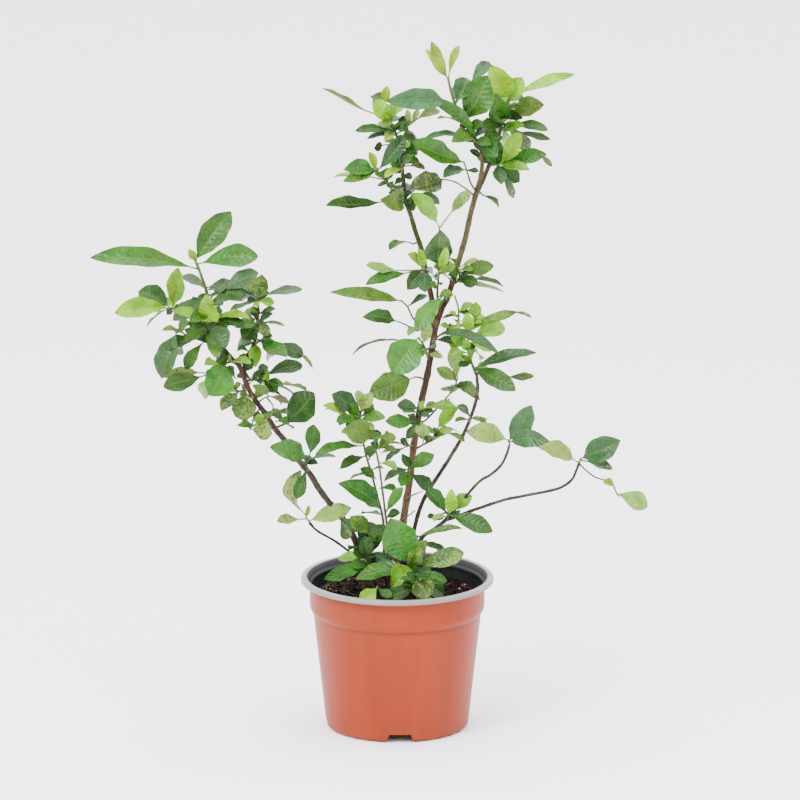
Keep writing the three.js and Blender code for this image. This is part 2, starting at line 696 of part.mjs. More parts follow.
        rooted: true,
      },
    ],
    leaves: [
      [[-18, 262, -26], [1, 256, -20], 10, 38, 0.04, 'pale'],
      [[-20, 275, -28], [-8, 281, -22], 9, 40, 0.03, 'olive'],
      [[-22, 289, -28], [-52, 296, -34], 27, 60, 0.06, 'olive', 0.1],
      [[-23, 286, -28], [-56, 292, -20], 15, -46, 0.06, 'lime'],
      [[-12, 211, -24], [6, 237, -24], 13, 56, 0.08, 'mid'],
      [[-11, 206, -24], [3, 212, -30], 11, 50, 0.1, 'dark'],
      [[-22, 280, -28], [-8, 291, -46], 13, 20, 0.05, 'mid'],
    ],
  },
  low_trunk_leaves: {
    stems: [{ path: [[12.5, 248, 6], [12, 252, -3], [12, 256, -6]], radii: [1.4, 1.1] }],
    leaves: [
      [[11, 254, -5], [4, 238, -10], 14, 78, 0.06, 'bright'],
      [[12, 255, -6], [-13, 244, -14], 13, 40, 0.07, 'dark'],
      [[13, 254, -5], [36, 270, -6], 16, 58, 0.06, 'mid'],
      [[13, 250, -3], [35, 236, 4], 15, 56, 0.02, 'dark'],
      [[12, 256, -6], [5, 271, -12], 10, 74, 0.06, 'dark'],
    ],
  },
  trunk_left_sprig: {
    stems: [{ path: [[16.5, 278, 4], [14, 279, -2], [12, 279, -4]], radii: [1.2, 1] }],
    leaves: [
      [[12, 279, -4], [-18, 278, -14], 12, 6, 0.08, 'olive', 0.25],
      [[13, 278, -3], [-12, 263, -8], 12, 8, 0.05, 'dark', 0.2],
      [[13, 279, -4], [3, 285, -8], 9, 60, 0.05, 'dark'],
    ],
  },
  trunk_right_branch: {
    stems: [
      { path: [[16, 274, 4], [27, 280, 6], [37, 285, 6], [50, 292, 4]], radii: [1.2, 0.9] },
      { path: [[33, 283, 6], [38, 290, 4], [41, 297, 2]], radii: [0.9, 0.8] },
    ],
    leaves: [
      [[26, 279, 6], [24, 302, -8], 16, 74, 0.04, 'pale', 0.42],
      [[41, 296, 2], [61, 317, -4], 15, 60, 0.06, 'lime', 0.06],
      [[48, 291, 4], [67, 283, -4], 9, 22, 0.05, 'olive'],
      [[38, 286, 6], [62, 294, 22], 13, -10, 0.1, 'mid'],
    ],
  },
  trunk_node_leaves: {
    stems: [{ path: [[21.5, 308, 2], [22, 312, -5], [22, 315, -8]], radii: [1.3, 1] }],
    leaves: [
      [[21, 315, -8], [0, 319, -12], 15, 52, 0.06, 'teal'],
      [[23, 315, -8], [60, 315, -14], 14, 34, 0.06, 'light', 0.3],
      [[22, 313, -6], [12, 321, -10], 5, 20, 0.03, 'dark'],
    ],
  },
  trunk_low_node_leaves: {
    stems: [{ path: [[19, 293, 3], [18, 298, -5], [17, 302, -8]], radii: [1.3, 1] }],
    leaves: [
      [[17, 302, -8], [-12, 303, -14], 16, 52, 0.06, 'mid'],
      [[17, 301, -7], [9, 286, -14], 10, 72, 0.06, 'dark'],
    ],
  },
  trunk_twig_leaves: {
    stems: [
      {
        path: [
          [21, 303, 2], [27, 303, 6], [39, 315, 8], [47, 324, 8], [56, 335, 6], [60, 345, 4],
        ],
        radii: [1.1, 0.8],
      },
    ],
    leaves: [
      [[59, 342, 4], [39, 356, 0], 13, 60, 0.06, 'pale'],
      [[60, 344, 4], [47, 358, 14], 6, 40, 0.03, 'dark'],
      [[58, 340, 5], [79, 334, 12], 13, 52, 0.06, 'olive'],
      [[60, 345, 4], [55, 378, -8], 18, 70, 0.05, 'pale', 0.12],
      [[57, 337, 6], [46, 333, 12], 6, 30, 0.03, 'dark'],
      [[57, 338, 5], [82, 325, -4], 10, 20, 0.04, 'olive'],
    ],
  },
  bright_broad_leaf: {
    stems: [{ path: [[31, 364, 0], [30, 368, -6], [27, 377, -9], [21, 386, -11]], radii: [1.4, 1.1] }],
    leaves: [
      [[21, 387, -11], [-5, 350, -22], 37, 76, 0.08, 'glossy', 0.06],
      [[29, 370, -7], [45, 366, -14], 9, 34, 0.04, 'pale'],
      [[26, 378, -9], [-45, 372, 4], 12, -14, 0.12, 'grey', 0.3],
      [[28, 373, -9], [22, 366, -18], 9, 60, 0.06, 'light'],
      [[25, 380, -10], [31, 402, -18], 12, 72, 0.05, 'pale'],
    ],
  },
  olive_broad_leaf: {
    stems: [{ path: [[28.5, 343, 0], [24, 346, -2], [18, 347, -4]], radii: [1.2, 1] }],
    leaves: [
      [[18, 347, -4], [-28, 330, -14], 31, 72, 0.05, 'olive', 0.12],
    ],
  },
  long_leaf_twig: {
    stems: [
      { path: [[37, 389, 0], [28, 396, 4], [17, 404, 6], [10, 417, 4], [4, 423, 2]], radii: [1.2, 0.9] },
      { path: [[29, 395, 3], [18, 396, -2], [11, 397, -5]], radii: [1, 0.8] },
    ],
    leaves: [
      [[5, 422, 2], [-64, 434, -8], 15, 44, 0.08, 'olive', 0.08],
      [[12, 397, -5], [-33, 408, -12], 17, 36, 0.14, 'dark', 0.4],
      [[17, 396, -2], [11, 388, -14], 10, 60, 0.08, 'pale'],
      [[10, 417, 4], [30, 429, 12], 10, 40, 0.03, 'teal'],
    ],
  },
  glossy_front_leaf: {
    stems: [{ path: [[48, 423, 1], [49, 427, -8], [47, 429, -13]], radii: [1.3, 1.1] }],
    leaves: [
      [[47, 428, -12], [19, 392, -25], 20, 62, 0.1, 'glossy', 0.08],
      [[48, 426, -9], [33, 410, -17], 7, 30, 0.03, 'olive'],
    ],
  },
  right_cluster_shoot: {
    stems: [{ path: [[55, 439, 2], [60, 442, 0], [62, 447, -2], [60, 456, -4]], radii: [1.3, 1] }],
    leaves: [
      [[61, 450, -3], [96, 458, -10], 16, 60, 0.05, 'olive'],
      [[60, 455, -4], [80, 464, -12], 9, 32, 0.03, 'pale'],
      [[61, 443, -1], [80, 441, -14], 14, 55, 0.06, 'dark'],
      [[61, 446, -2], [107, 438, 4], 10, 20, 0.03, 'dark', 0.3],
      [[60, 442, 0], [109, 434, 14], 12, 26, -0.02, 'light'],
      [[60, 456, -4], [50, 466, -14], 10, 20, 0.03, 'mid'],
      [[61, 446, -2], [84, 446, 30], 16, 40, 0.05, 'dark'],
    ],
  },
  right_long_leaves: {
    stems: [
      {
        path: [
          [35, 380, 0], [39, 386, -10], [48, 392, -11], [59, 398, -8], [61, 414, -6], [57, 428, -6],
        ],
        radii: [1.3, 0.9],
      },
    ],
    leaves: [
      [[40, 386, -11], [101, 372, -38], 16, 34, 0.2, 'teal', 0.06],
      [[38, 384, -7], [57, 382, -18], 11, 26, 0.05, 'dark'],
      [[47, 391, -11], [56, 397, -2], 10, 50, 0.06, 'mid'],
      [[60, 408, -6], [45, 406, -12], 5, 15, 0.06, 'dry'],
      [[60, 411, -6], [72, 411, -10], 7, 50, 0.06, 'dark'],
    ],
  },
  centre_shoot: {
    stems: [
      {
        path: [
          [43, 412, 0], [40, 424, -5], [41, 449, -9], [41, 475, -10], [42, 496, -10],
        ],
        radii: [1.4, 0.9],
      },
    ],
    leaves: [
      [[42, 495, -10], [14, 528, -14], 19, 66, 0.06, 'lime', 0.16],
      [[42, 495, -10], [73, 532, -16], 14, 26, 0.04, 'pale', 0.4],
      [[41, 456, -10], [43, 491, -18], 29, 74, 0.06, 'teal', 0.06],
      [[41, 451, -10], [48, 475, -24], 10, 66, 0.06, 'lime'],
      [[41, 452, -9], [52, 442, 8], 14, 50, 0.05, 'mid'],
      [[41, 447, -9], [57, 460, -2], 13, 60, 0.05, 'light'],
    ],
  },
  crown_stem_low_leaves: {
    stems: [{ path: [[27, 457, 10], [26, 455, 2], [25, 453, -4]], radii: [1.3, 1.1] }],
    leaves: [
      [[25, 454, -3], [10, 434, -8], 17, 65, 0.05, 'dark'],
      [[25, 453, -4], [28, 431, -16], 17, 68, 0.06, 'teal'],
      [[25, 454, -3], [-31, 439, -8], 15, 38, 0.03, 'mid', 0.3],
      [[25, 455, -2], [-31, 458, -2], 13, 50, 0, 'pale', 0.5],
      [[25, 454, -3], [11, 469, -12], 12, 50, 0.06, 'lime'],
      [[26, 455, -2], [21, 474, -10], 11, 70, 0.06, 'lime'],
      [[26, 453, 1], [38, 444, 22], 14, 60, 0.05, 'dark'],
    ],
  },
  crown_stem_mid_leaves: {
    stems: [{ path: [[21, 482, 14], [18, 480, 8], [16, 479, 6]], radii: [1.2, 1] }],
    leaves: [
      [[16, 479, 6], [-8, 474, -2], 13, -2, 0.12, 'mid', 0.2],
    ],
  },
  crown_left_whorl: {
    stems: [{ path: [[9, 520, 17], [7, 522, 8], [6, 525, 4]], radii: [1.4, 1.1] }],
    leaves: [
      [[6, 525, 4], [-14, 523, -12], 25, 70, 0.08, 'olive', 0.06],
      [[5, 525, 4], [-70, 519, 6], 17, 50, -0.18, 'dark', 0.3],
      [[8, 524, 6], [16, 512, -4], 13, 66, 0.08, 'dark'],
      [[7, 523, 7], [43, 522, 14], 15, 40, 0.05, 'dark', 0.1],
      [[7, 522, 8], [-4, 538, 34], 16, 40, 0.05, 'teal'],
      [[8, 522, 9], [22, 534, 36], 17, 40, 0.05, 'dark'],
    ],
  },
  crown_back_leaf: {
    stems: [{ path: [[77, 527, 5], [68, 534, -2], [56, 541, -8], [44, 543, -12]], radii: [1.1, 0.8] }],
    leaves: [
      [[46, 543, -12], [13, 534, -16], 25, 60, 0.08, 'dusky', 0.06],
    ],
  },
  crown_left_twig: {
    stems: [{ path: [[7, 535, 18], [-3, 536, 12], [-12, 542, 8], [-21, 552, 6]], radii: [1.2, 0.9] }],
    leaves: [
      [[-20, 551, 6], [8, 585, 0], 18, 64, 0.06, 'teal', 0.08],
      [[-21, 551, 6], [-52, 553, 0], 18, 56, 0.06, 'mid'],
      [[-21, 550, 6], [-53, 542, -4], 13, 40, 0.04, 'olive'],
      [[-21, 552, 6], [-28, 570, 4], 9, 72, 0.05, 'lime'],
      [[-14, 543, 8], [-63, 546, 18], 12, 8, 0.03, 'pale', 0.3],
      [[-9, 539, 9], [-8, 552, 30], 14, 40, 0.05, 'dark'],
      [[-17, 546, 7], [-34, 550, 28], 14, 40, 0.05, 'teal'],
    ],
  },
  crown_left_sprig: {
    stems: [{ path: [[5, 549, 18], [5, 553, 10], [6, 556, 6]], radii: [1.1, 0.9] }],
    leaves: [
      [[5, 554, 8], [-12, 546, -4], 10, 26, 0.03, 'young'],
      [[6, 556, 6], [28, 554, 0], 9, 20, 0.05, 'dry', 0.3],
      [[5, 555, 7], [14, 566, -4], 10, 60, 0.06, 'mid'],
    ],
  },
  crown_left_head: {
    stems: [
      { path: [[4, 560, 18], [2, 577, 18], [-2, 590, 16], [-8, 602, 14], [-12, 618, 12]], radii: [1.7, 1] },
      { path: [[-1, 588, 16], [6, 592, 12], [14, 598, 8]], radii: [0.9, 0.7] },
    ],
    leaves: [
      [[-9, 604, 14], [-72, 635, 4], 13, 24, -0.08, 'olive', 0.3],
      [[-12, 617, 12], [-10, 635, 10], 10, 78, 0.05, 'young'],
      [[-6, 598, 14], [-24, 622, 2], 18, 68, 0.06, 'lime'],
      [[-8, 602, 14], [-5, 618, 2], 12, 70, 0.05, 'light'],
      [[-11, 613, 12], [-24, 627, 26], 14, 40, 0.04, 'dark'],
      [[13, 597, 8], [10, 612, 4], 7, 76, 0.05, 'pale'],
      [[14, 598, 8], [21, 613, 8], 7, 76, 0.05, 'pale'],
      [[14, 598, 8], [42, 612, 14], 12, 50, 0.08, 'olive', 0.2],
      [[3, 591, 13], [14, 600, 0], 7, 40, 0.03, 'dark'],
      [[-2, 590, 16], [-41, 592, 6], 12, 30, 0.06, 'dark', 0.12],
      [[-1, 587, 16], [-30, 583, 8], 9, 20, 0.03, 'mid'],
      [[-2, 590, 16], [-12, 581, 2], 10, 70, 0.06, 'pale'],
      [[2, 577, 18], [-23, 574, 12], 10, 80, -0.1, 'dry', 0.6],
      [[2, 578, 18], [20, 586, 30], 16, 40, 0.05, 'dark'],
      [[-2, 588, 16], [-16, 598, 38], 15, 40, 0.05, 'dark'],
      [[-6, 599, 15], [10, 603, 34], 14, 40, 0.05, 'teal'],
      [[2, 574, 18], [-4, 556, 40], 15, 60, 0.05, 'mid'],
      [[3, 572, 18], [27, 577, 4], 14, 55, 0.05, 'mid'],
      [[3, 570, 18], [-3, 548, 34], 13, 72, 0.05, 'dark'],
    ],
  },
  crown_mid_shoot: {
    stems: [
      {
        path: [
          [83, 572, 0], [74, 589, -4], [66, 602, -6], [58, 616, -8], [54, 628, -8], [50, 644, -8],
        ],
        radii: [1.9, 1.4],
      },
    ],
    leaves: [
      [[50, 642, -8], [34, 678, -12], 14, 74, 0.05, 'young', 0.06],
      [[51, 641, -8], [28, 672, 4], 10, 68, 0.05, 'young'],
      [[51, 641, -8], [61, 675, -6], 9, 62, 0.05, 'young', 0.2],
      [[57, 618, -8], [69, 644, -2], 22, 66, 0.05, 'teal'],
      [[58, 616, -8], [-11, 619, -22], 23, 54, 0.11, 'glaze', 0.2],
      [[58, 617, -8], [92, 661, 16], 14, 60, 0.02, 'teal', 0.5],
      [[82, 574, -1], [37, 622, -18], 14, 50, 0.06, 'mid', 0.08],
      [[66, 601, -6], [89, 645, -18], 34, 66, 0.06, 'mid', 0.06],
      [[70, 595, -5], [41, 606, -26], 10, 16, 0.02, 'dark'],
      [[80, 577, -2], [57, 583, -24], 18, 56, 0.08, 'olive'],
      [[76, 586, -4], [27, 586, -12], 11, 24, 0.03, 'dark', 0.2],
      [[77, 584, -3], [90, 598, 14], 16, 60, 0.05, 'dark'],
      [[64, 606, -6], [80, 613, 14], 15, 60, 0.05, 'dark'],
      [[57, 620, -8], [72, 628, 26], 17, -15, 0.1, 'mid'],
      [[80, 577, -2], [99, 566, -20], 18, 62, 0.05, 'mid'],
    ],
  },
  crown_right_shoot: {
    stems: [{ path: [[102, 590, 8], [105, 602, 8], [108, 614, 8], [112, 627, 8]], radii: [1.7, 1.1] }],
    leaves: [
      [[111, 624, 8], [94, 656, 2], 28, 60, 0.08, 'lime', 0.06],
      [[112, 625, 8], [124, 644, 4], 20, 62, 0.06, 'lime'],
      [[112, 626, 8], [174, 650, -2], 15, 34, 0.05, 'lime', 0.22],
      [[104, 597, 8], [98, 627, -6], 22, 72, 0.06, 'mid', 0.06],
      [[108, 611, 8], [145, 618, 0], 22, 62, 0.02, 'olive', 0.25],
      [[107, 608, 8], [119, 616, -6], 9, 50, 0.05, 'dark'],
      [[104, 599, 8], [149, 594, -4], 13, 40, 0.02, 'mid', 0.2],
      [[104, 598, 8], [152, 583, 14], 10, 30, 0, 'dark', 0.4],
      [[103, 593, 8], [124, 597, -10], 14, 56, 0.06, 'light'],
      [[105, 601, 8], [132, 574, 10], 17, 60, 0.06, 'grey', 0.2],
      [[104, 598, 8], [120, 592, 30], 16, 60, 0.05, 'dark'],
      [[106, 606, 8], [121, 614, 26], 15, 50, 0.05, 'dark'],
      [[110, 620, 8], [124, 630, 22], 15, 50, 0.05, 'teal'],
      [[103, 594, 8], [92, 580, 34], 16, 60, 0.05, 'mid'],
      [[103, 592, 8], [84, 576, -8], 18, 60, 0.06, 'mid'],
      [[104, 597, 8], [110, 573, 36], 18, 66, 0.06, 'lime'],
      [[104, 599, 8], [82, 596, -6], 15, 56, 0.05, 'dark'],
    ],
  },
  crown_right_low_leaves: {
    stems: [{ path: [[92, 558, 7], [98, 558, 0], [103, 559, -4]], radii: [1.4, 1.1] }],
    leaves: [
      [[103, 559, -4], [123, 588, -16], 19, 72, 0.06, 'lime', 0.06],
      [[102, 559, -4], [148, 569, -8], 17, 48, 0.05, 'bright', 0.1],
      [[101, 558, -3], [131, 553, -16], 14, 50, 0.04, 'light'],
      [[101, 558, -2], [122, 541, 0], 17, 60, 0.05, 'dark'],
      [[99, 558, -1], [103, 539, -12], 15, 70, 0.05, 'teal'],
      [[100, 558, -2], [116, 525, -10], 9, 24, 0.03, 'grey', 0.3],
      [[99, 558, -1], [84, 569, -8], 13, 60, 0.05, 'mid'],
    ],
  },
  crown_long_green_leaf: {
    stems: [{ path: [[78, 532, 5], [73, 540, -2], [69, 552, -8], [66, 561, -10]], radii: [1.2, 0.9] }],
    leaves: [
      [[67, 560, -10], [15, 580, -18], 24, 60, 0.02, 'bright', 0.04],
      [[69, 553, -8], [47, 546, -20], 15, 58, 0.06, 'teal'],
      [[69, 552, -8], [81, 551, -14], 7, 40, 0.03, 'dark'],
    ],
  },
  crown_foot_leaf: {
    stems: [{ path: [[79, 534, 5], [83, 530, -2], [86, 527, -4]], radii: [1.2, 1] }],
    leaves: [
      [[85, 528, -3], [101, 515, -8], 12, 20, 0.1, 'teal'],
    ],
  },
  right_stem_head: {
    stems: [
      {
        path: [
          [79, 348, -13], [74, 361, -16], [70, 376, -16], [72, 392, -14], [77, 406, -12],
        ],
        radii: [1.5, 1],
      },
    ],
    leaves: [
      [[71, 388, -15], [69, 410, -22], 12, 74, 0.05, 'lime'],
      [[77, 405, -12], [78, 421, -18], 14, 68, 0.05, 'light'],
      [[74, 398, -13], [119, 412, -20], 11, 46, 0.04, 'olive', 0.08],
      [[73, 394, -14], [92, 404, 4], 16, 60, 0.05, 'lime'],
      [[72, 385, -15], [108, 398, -2], 20, 64, 0.05, 'lime', 0.16],
      [[71, 381, -16], [93, 374, -24], 13, 46, 0.03, 'lime'],
      [[71, 372, -16], [66, 384, -26], 10, 72, 0.05, 'light'],
      [[76, 356, -15], [137, 373, -24], 15, 44, 0.04, 'teal', 0.08],
      [[75, 357, -15], [117, 334, -30], 21, 58, 0.06, 'dark', 0.06],
      [[77, 354, -15], [136, 347, -10], 11, 50, -0.02, 'dusky', 0.6],
      [[74, 361, -16], [61, 358, -24], 9, 50, 0.05, 'dark'],
      [[71, 374, -16], [84, 366, 10], 14, 60, 0.05, 'lime'],
      [[74, 400, -13], [60, 394, 8], 15, 60, 0.05, 'mid'],
      [[71, 377, -16], [53, 387, -22], 14, 60, 0.05, 'light'],
    ],
  },
  right_stem_leaves: {
    stems: [{ path: [[72, 303, -3], [73, 304, -10], [73, 306, -12]], radii: [1.2, 1] }],
    leaves: [
      [[73, 305, -11], [58, 303, -18], 10, 26, 0.03, 'olive'],
      [[73, 305, -12], [88, 300, -18], 10, 26, 0.03, 'olive'],
      [[73, 306, -12], [60, 319, -14], 11, 24, 0.1, 'grey'],
      [[73, 306, -11], [90, 304, 0], 7, 14, 0.08, 'dry'],
    ],
  },
  apex_shoot: {
    stems: [{ path: [[47, 204, -15], [50, 208, -20], [52, 212, -22]], radii: [1.5, 1.2] }],
    leaves: [
      [[52, 211, -22], [54, 235, -26], 14, 76, 0.05, 'lime', 0.06],
      [[50, 209, -21], [29, 236, -18], 16, 58, 0.06, 'dark', 0.08],
      [[53, 211, -22], [74, 229, -18], 16, 62, 0.06, 'light'],
      [[52, 210, -21], [95, 193, -30], 19, 54, 0.08, 'dark', 0.06],
      [[50, 208, -20], [34, 205, -26], 9, 16, 0.03, 'pale'],
      [[51, 210, -21], [56, 208, 10], 15, -10, 0.1, 'dark'],
    ],
  },
  spray_foot_leaf: {
    stems: [{ path: [[22.5, 172, -10], [20, 180, -18], [20, 189, -22]], radii: [1.2, 0.9] }],
    leaves: [
      [[20, 188, -22], [63, 198, -34], 11, 34, 0.02, 'olive'],
      [[20, 182, -19], [49, 172, -20], 12, 22, 0.04, 'dark'],
    ],
  },
  upper_spray_leaves: {
    stems: [{ path: [[110.5, 275, -25], [111.5, 281, -25], [110, 285, -25]], radii: [1.2, 0.9] }],
    leaves: [
      [[110, 284, -25], [69, 293, -34], 22, 62, 0.16, 'pale', 0.1],
      [[110, 284, -25], [133, 319, -28], 23, 66, 0.02, 'silver', 0.05],
      [[111, 282, -25], [149, 284, -34], 20, 62, 0.06, 'silver', 0.08],
    ],
  },
  lower_spray_leaves: {
    stems: [
      { path: [[180.5, 258, 10], [182, 264, 10], [183, 266, 10]], radii: [1.2, 1] },
      {
        path: [
          [181, 261, 10], [188, 254, 8], [196, 248, 7], [204, 245, 6], [213, 243, 5], [217, 234, 4],
          [220, 228, 4],
        ],
        radii: [0.9, 0.8],
      },
    ],
    leaves: [
      [[181, 262, 10], [139, 278, 4], 21, 58, 0.08, 'pale', 0.16],
      [[183, 266, 10], [222, 284, 6], 27, 60, 0.16, 'glaze', 0.06],
      [[183, 264, 10], [213, 257, -2], 12, 42, 0.02, 'grey', 0.3],
      [[218, 230, 4], [249, 218, 0], 20, 62, 0.05, 'pale', 0.04],
      [[204, 245, 6], [215, 239, 0], 9, 50, 0.05, 'young'],
    ],
  },
  basal_left_shoot: {
    stems: [
      {
        path: [
          [-22, 126, -12], [-26, 145, -10], [-29, 162, -8], [-28, 180, -6], [-27, 190, -4],
        ],
        radii: [1.6, 1.1],
        rooted: true,
      },
    ],
    leaves: [
      [[-28, 160, -8], [-73, 145, -14], 15, 46, 0.04, 'bright', 0.06],
      [[-29, 163, -8], [-59, 167, 12], 15, 34, 0.03, 'light'],
      [[-28, 164, -8], [-26, 203, 8], 29, 74, 0.05, 'dark', 0.06],
      [[-29, 162, -8], [-33, 188, -16], 16, 72, 0.05, 'teal'],
      [[-27, 189, -4], [-46, 208, -8], 18, 62, 0.06, 'olive'],
      [[-27, 188, -4], [-28, 196, 26], 15, -10, 0.1, 'dark'],
      [[-28, 168, -8], [-48, 176, 20], 17, -10, 0.1, 'dark'],
      [[-28, 178, -6], [-12, 199, -14], 17, 66, 0.05, 'dark'],
    ],
  },
  basal_centre_shoot: {
    stems: [
      {
        path: [
          [14, 124, -30], [14, 140, -30], [15, 157, -30], [15, 163, -30],
        ],
        radii: [1.7, 1.3],
        rooted: true,
      },
    ],
    leaves: [
      [[14, 161, -30], [-7, 206, -38], 38, 78, 0.08, 'glossy', 0.05],
      [[14, 159, -30], [-42, 146, -32], 24, 38, 0.04, 'mid', 0.06],
      [[14, 158, -30], [-5, 137, -46], 30, 66, 0.07, 'light', 0.06],
      [[16, 159, -30], [24, 181, -40], 17, 70, 0.05, 'marbled'],
      [[16, 159, -30], [66, 173, -24], 21, 54, 0.06, 'cream', 0.06],
      [[16, 161, -30], [29, 184, -32], 15, 60, 0.06, 'cream'],
    ],
  },
  basal_front_shoot: {
    stems: [{ path: [[21, 115, -56], [20, 132, -54], [19, 149, -52]], radii: [1.5, 1.2], rooted: true }],
    leaves: [
      [[19, 148, -52], [31, 126, -66], 25, 70, 0.08, 'dusky', 0.06],
      [[19, 147, -52], [50, 144, -48], 14, 44, 0.03, 'mid'],
      [[20, 145, -52], [47, 130, -50], 18, 60, 0.06, 'teal', 0.2],
      [[20, 139, -53], [-13, 126, -60], 16, 50, 0.08, 'dark'],
    ],
  },
  basal_small_leaf: {
    stems: [{ path: [[-14, 117, -52], [-17, 130, -54], [-20, 139, -56]], radii: [1.2, 0.9], rooted: true }],
    leaves: [
      [[-20, 138, -56], [-37, 121, -66], 17, 62, 0.06, 'lime'],
      [[-19, 137, -55], [-6, 128, -66], 11, 50, 0.06, 'mid'],
    ],
  },
};

// The wood, and a slightly wider copy that leaves its neighbours room
const woodClearance = [];
for (const [name, stems] of Object.entries(woods)) {
  const solid = wasm.Manifold.union(stems.map((stem) => stemSolid(stem)));
  addPiece(name, wholeBody(solid), woodTone, woodRoughness);
  woodClearance.push(...stems.map((stem) => stemSolid(stem, seat + tidyStep)));
}
const woodRoom = wasm.Manifold.union(woodClearance);

// The tone that most of a shoot's leaves have
function mainTone(leaves) {
  const counts = {};
  for (const leaf of leaves) {
    counts[leaf[5]] = (counts[leaf[5]] ?? 0) + 1;
  }
  const [name] = Object.entries(counts).sort((a, b) => b[1] - a[1])[0];
  return tones[name];
}

for (const [name, { stems, leaves }] of Object.entries(shoots)) {
  const parts = stems.map((stem) => stemSolid(stem));
  for (const leaf of leaves) {
    if (seen(leaf[0]).distanceTo(seen(leaf[1])) > leastLeaf) {
      parts.push(solidOf(leafOf(leaf, stems)));
    }
  }
  const shoot = wasm.Manifold.union(parts).subtract(woodRoom);
  const tone = new THREE.Color(mainTone(leaves)).lerp(new THREE.Color(shootTone), stemShare);
  addPiece(name, wholeBody(shoot), tone, leafRoughness);
}

// Soil: a plug inside the pot's wall, on the raised ring of its floor and cut out over the foot's notches,
// with a hole for each rooted stem
const soilRadius = 84;
const soilProfile = [
  [0, 8.7], [70.2, 8.7], [81.9, 116], [85.6, 122.8], [85.6, soilTop - 1], [soilRadius, soilTop],
  [66, soilTop], [44, soilTop], [22, soilTop], [0, soilTop],
];
const soilGeometry = turnedGeometry(soilProfile);
const soilPlaces = soilGeometry.attributes.position;
for (let i = 0; i < soilPlaces.count; i += 1) {
  const x = soilPlaces.getX(i);
  const y = soilPlaces.getY(i);
  const z = soilPlaces.getZ(i);
  if (z > soilTop - 1) {
    const edge = 1 - (Math.hypot(x, y) / soilRadius) ** 4;
    const lumps = 1.6 * Math.sin(x / 9 + 1) * Math.cos(y / 7) + 1.1 * Math.sin(x / 5 - y / 6);
    const heap = 3.5 * Math.max(0, -x / soilRadius);
    soilPlaces.setZ(i, z + edge * (lumps + heap));
  }
}
const stems = [...Object.values(woods).flat(), ...Object.values(shoots).flatMap((shoot) => shoot.stems)];
const holes = stems.filter((stem) => stem.rooted).map((stem) => stemSolid(stem, holeSeat, holeDepth));
const soil = solidOf(soilGeometry).subtract(wasm.Manifold.union([...holes, notchCutter(potWall + seat)]));
addPiece('soil', wholeBody(soil), soilTone, soilRoughness);

export default plant;
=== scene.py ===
import math

import bpy
import numpy as np
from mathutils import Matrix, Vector


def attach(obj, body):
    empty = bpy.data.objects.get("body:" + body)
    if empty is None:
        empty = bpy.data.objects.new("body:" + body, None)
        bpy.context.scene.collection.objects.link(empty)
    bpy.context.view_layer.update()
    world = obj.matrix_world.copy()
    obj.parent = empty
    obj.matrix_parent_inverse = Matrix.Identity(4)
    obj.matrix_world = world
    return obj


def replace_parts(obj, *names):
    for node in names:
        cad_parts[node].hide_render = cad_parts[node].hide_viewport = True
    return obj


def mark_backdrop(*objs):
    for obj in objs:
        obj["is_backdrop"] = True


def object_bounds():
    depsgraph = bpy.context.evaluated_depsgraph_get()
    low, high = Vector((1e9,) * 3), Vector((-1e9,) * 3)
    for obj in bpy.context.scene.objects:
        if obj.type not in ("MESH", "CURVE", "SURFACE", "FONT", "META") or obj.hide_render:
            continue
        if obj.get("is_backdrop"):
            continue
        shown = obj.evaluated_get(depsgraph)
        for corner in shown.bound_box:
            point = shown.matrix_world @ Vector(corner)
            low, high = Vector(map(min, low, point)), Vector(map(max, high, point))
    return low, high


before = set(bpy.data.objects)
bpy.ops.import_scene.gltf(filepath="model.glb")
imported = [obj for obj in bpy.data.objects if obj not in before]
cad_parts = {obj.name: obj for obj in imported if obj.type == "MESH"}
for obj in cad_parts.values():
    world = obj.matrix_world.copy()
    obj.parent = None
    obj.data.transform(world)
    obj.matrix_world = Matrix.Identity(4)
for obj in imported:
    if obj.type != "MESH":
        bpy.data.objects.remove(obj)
frame_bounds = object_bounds()

# Pot
# A thermoformed cup of thin plastic, terracotta outside and near black inside. Its lip is turned out and
# down and is pale grey. A step under the lip stiffens the wall, and the foot is a
# ring with four notches that let water out, round a raised channel with six drain holes.
pot_height = 154
pot_wall = 1.2
notch_height = 9
notch_top = 10.7
notch_foot = 14.2
notch_turn = math.radians(2.3)
notch_inside = 58.5
scallop_height = 0.8
scallop_count = 28
foot_height = 2.5
drain_circle = 48.5
drain_radius = 5
drain_count = 6
drain_middle = 7
drain_cut = 12
pot_outside = [
    (0, 0, 0), (34, 0, 1.5), (37, 7, 1.5), (60, 7, 1.5), (62.5, 0, 1.2), (68, 0, 1.2), (71.4, 3.4, 3),
    (83.8, 117.0, 1.4), (87.3, 123, 3), (87.5, 147, 2), (90.0, 152.0, 1.2), (94.6, 152.2, 0.9),
    (94.9, 149.6, 0.4),
]
pot_lip = [(96.2, 149.6, 0.5), (96.2, 152.8, 1.8), (94.2, 154, 1.0), (90.9, 154, 0.8), (90.2, 153.6, 0.4)]
pot_inside = [
    (88.6, 152.2, 1.5), (87.2, 148, 0.8), (85.4, 146, 0.8), (85.3, 144, 0.8), (86.2, 142, 1.5),
    (86.1, 122.5, 4), (82.4, 115.9, 4), (70.2, 4, 3), (67.4, 1.2, 1), (63.3, 1.2, 1), (60.8, 8.2, 1.5),
    (36.2, 8.2, 1.5), (33.2, 1.2, 1.5), (0, 1.2, 0),
]
terracotta = (0.205, 0.0235, 0.0045, 1)
terracotta_worn = (0.215, 0.034, 0.012, 1)
# Painted shade: the brown that the outside darkens to in the crease under the step and just under the lip.
painted_shade_brown = (0.085, 0.010, 0.003, 1)
rim_grey = (0.26, 0.26, 0.26, 1)
rim_dust = (0.225, 0.22, 0.21, 1)
# Painted shade: the darker grey that the rim turns to at the front and along its outer face and inner edge.
rim_shade_grey = (0.12, 0.12, 0.12, 1)
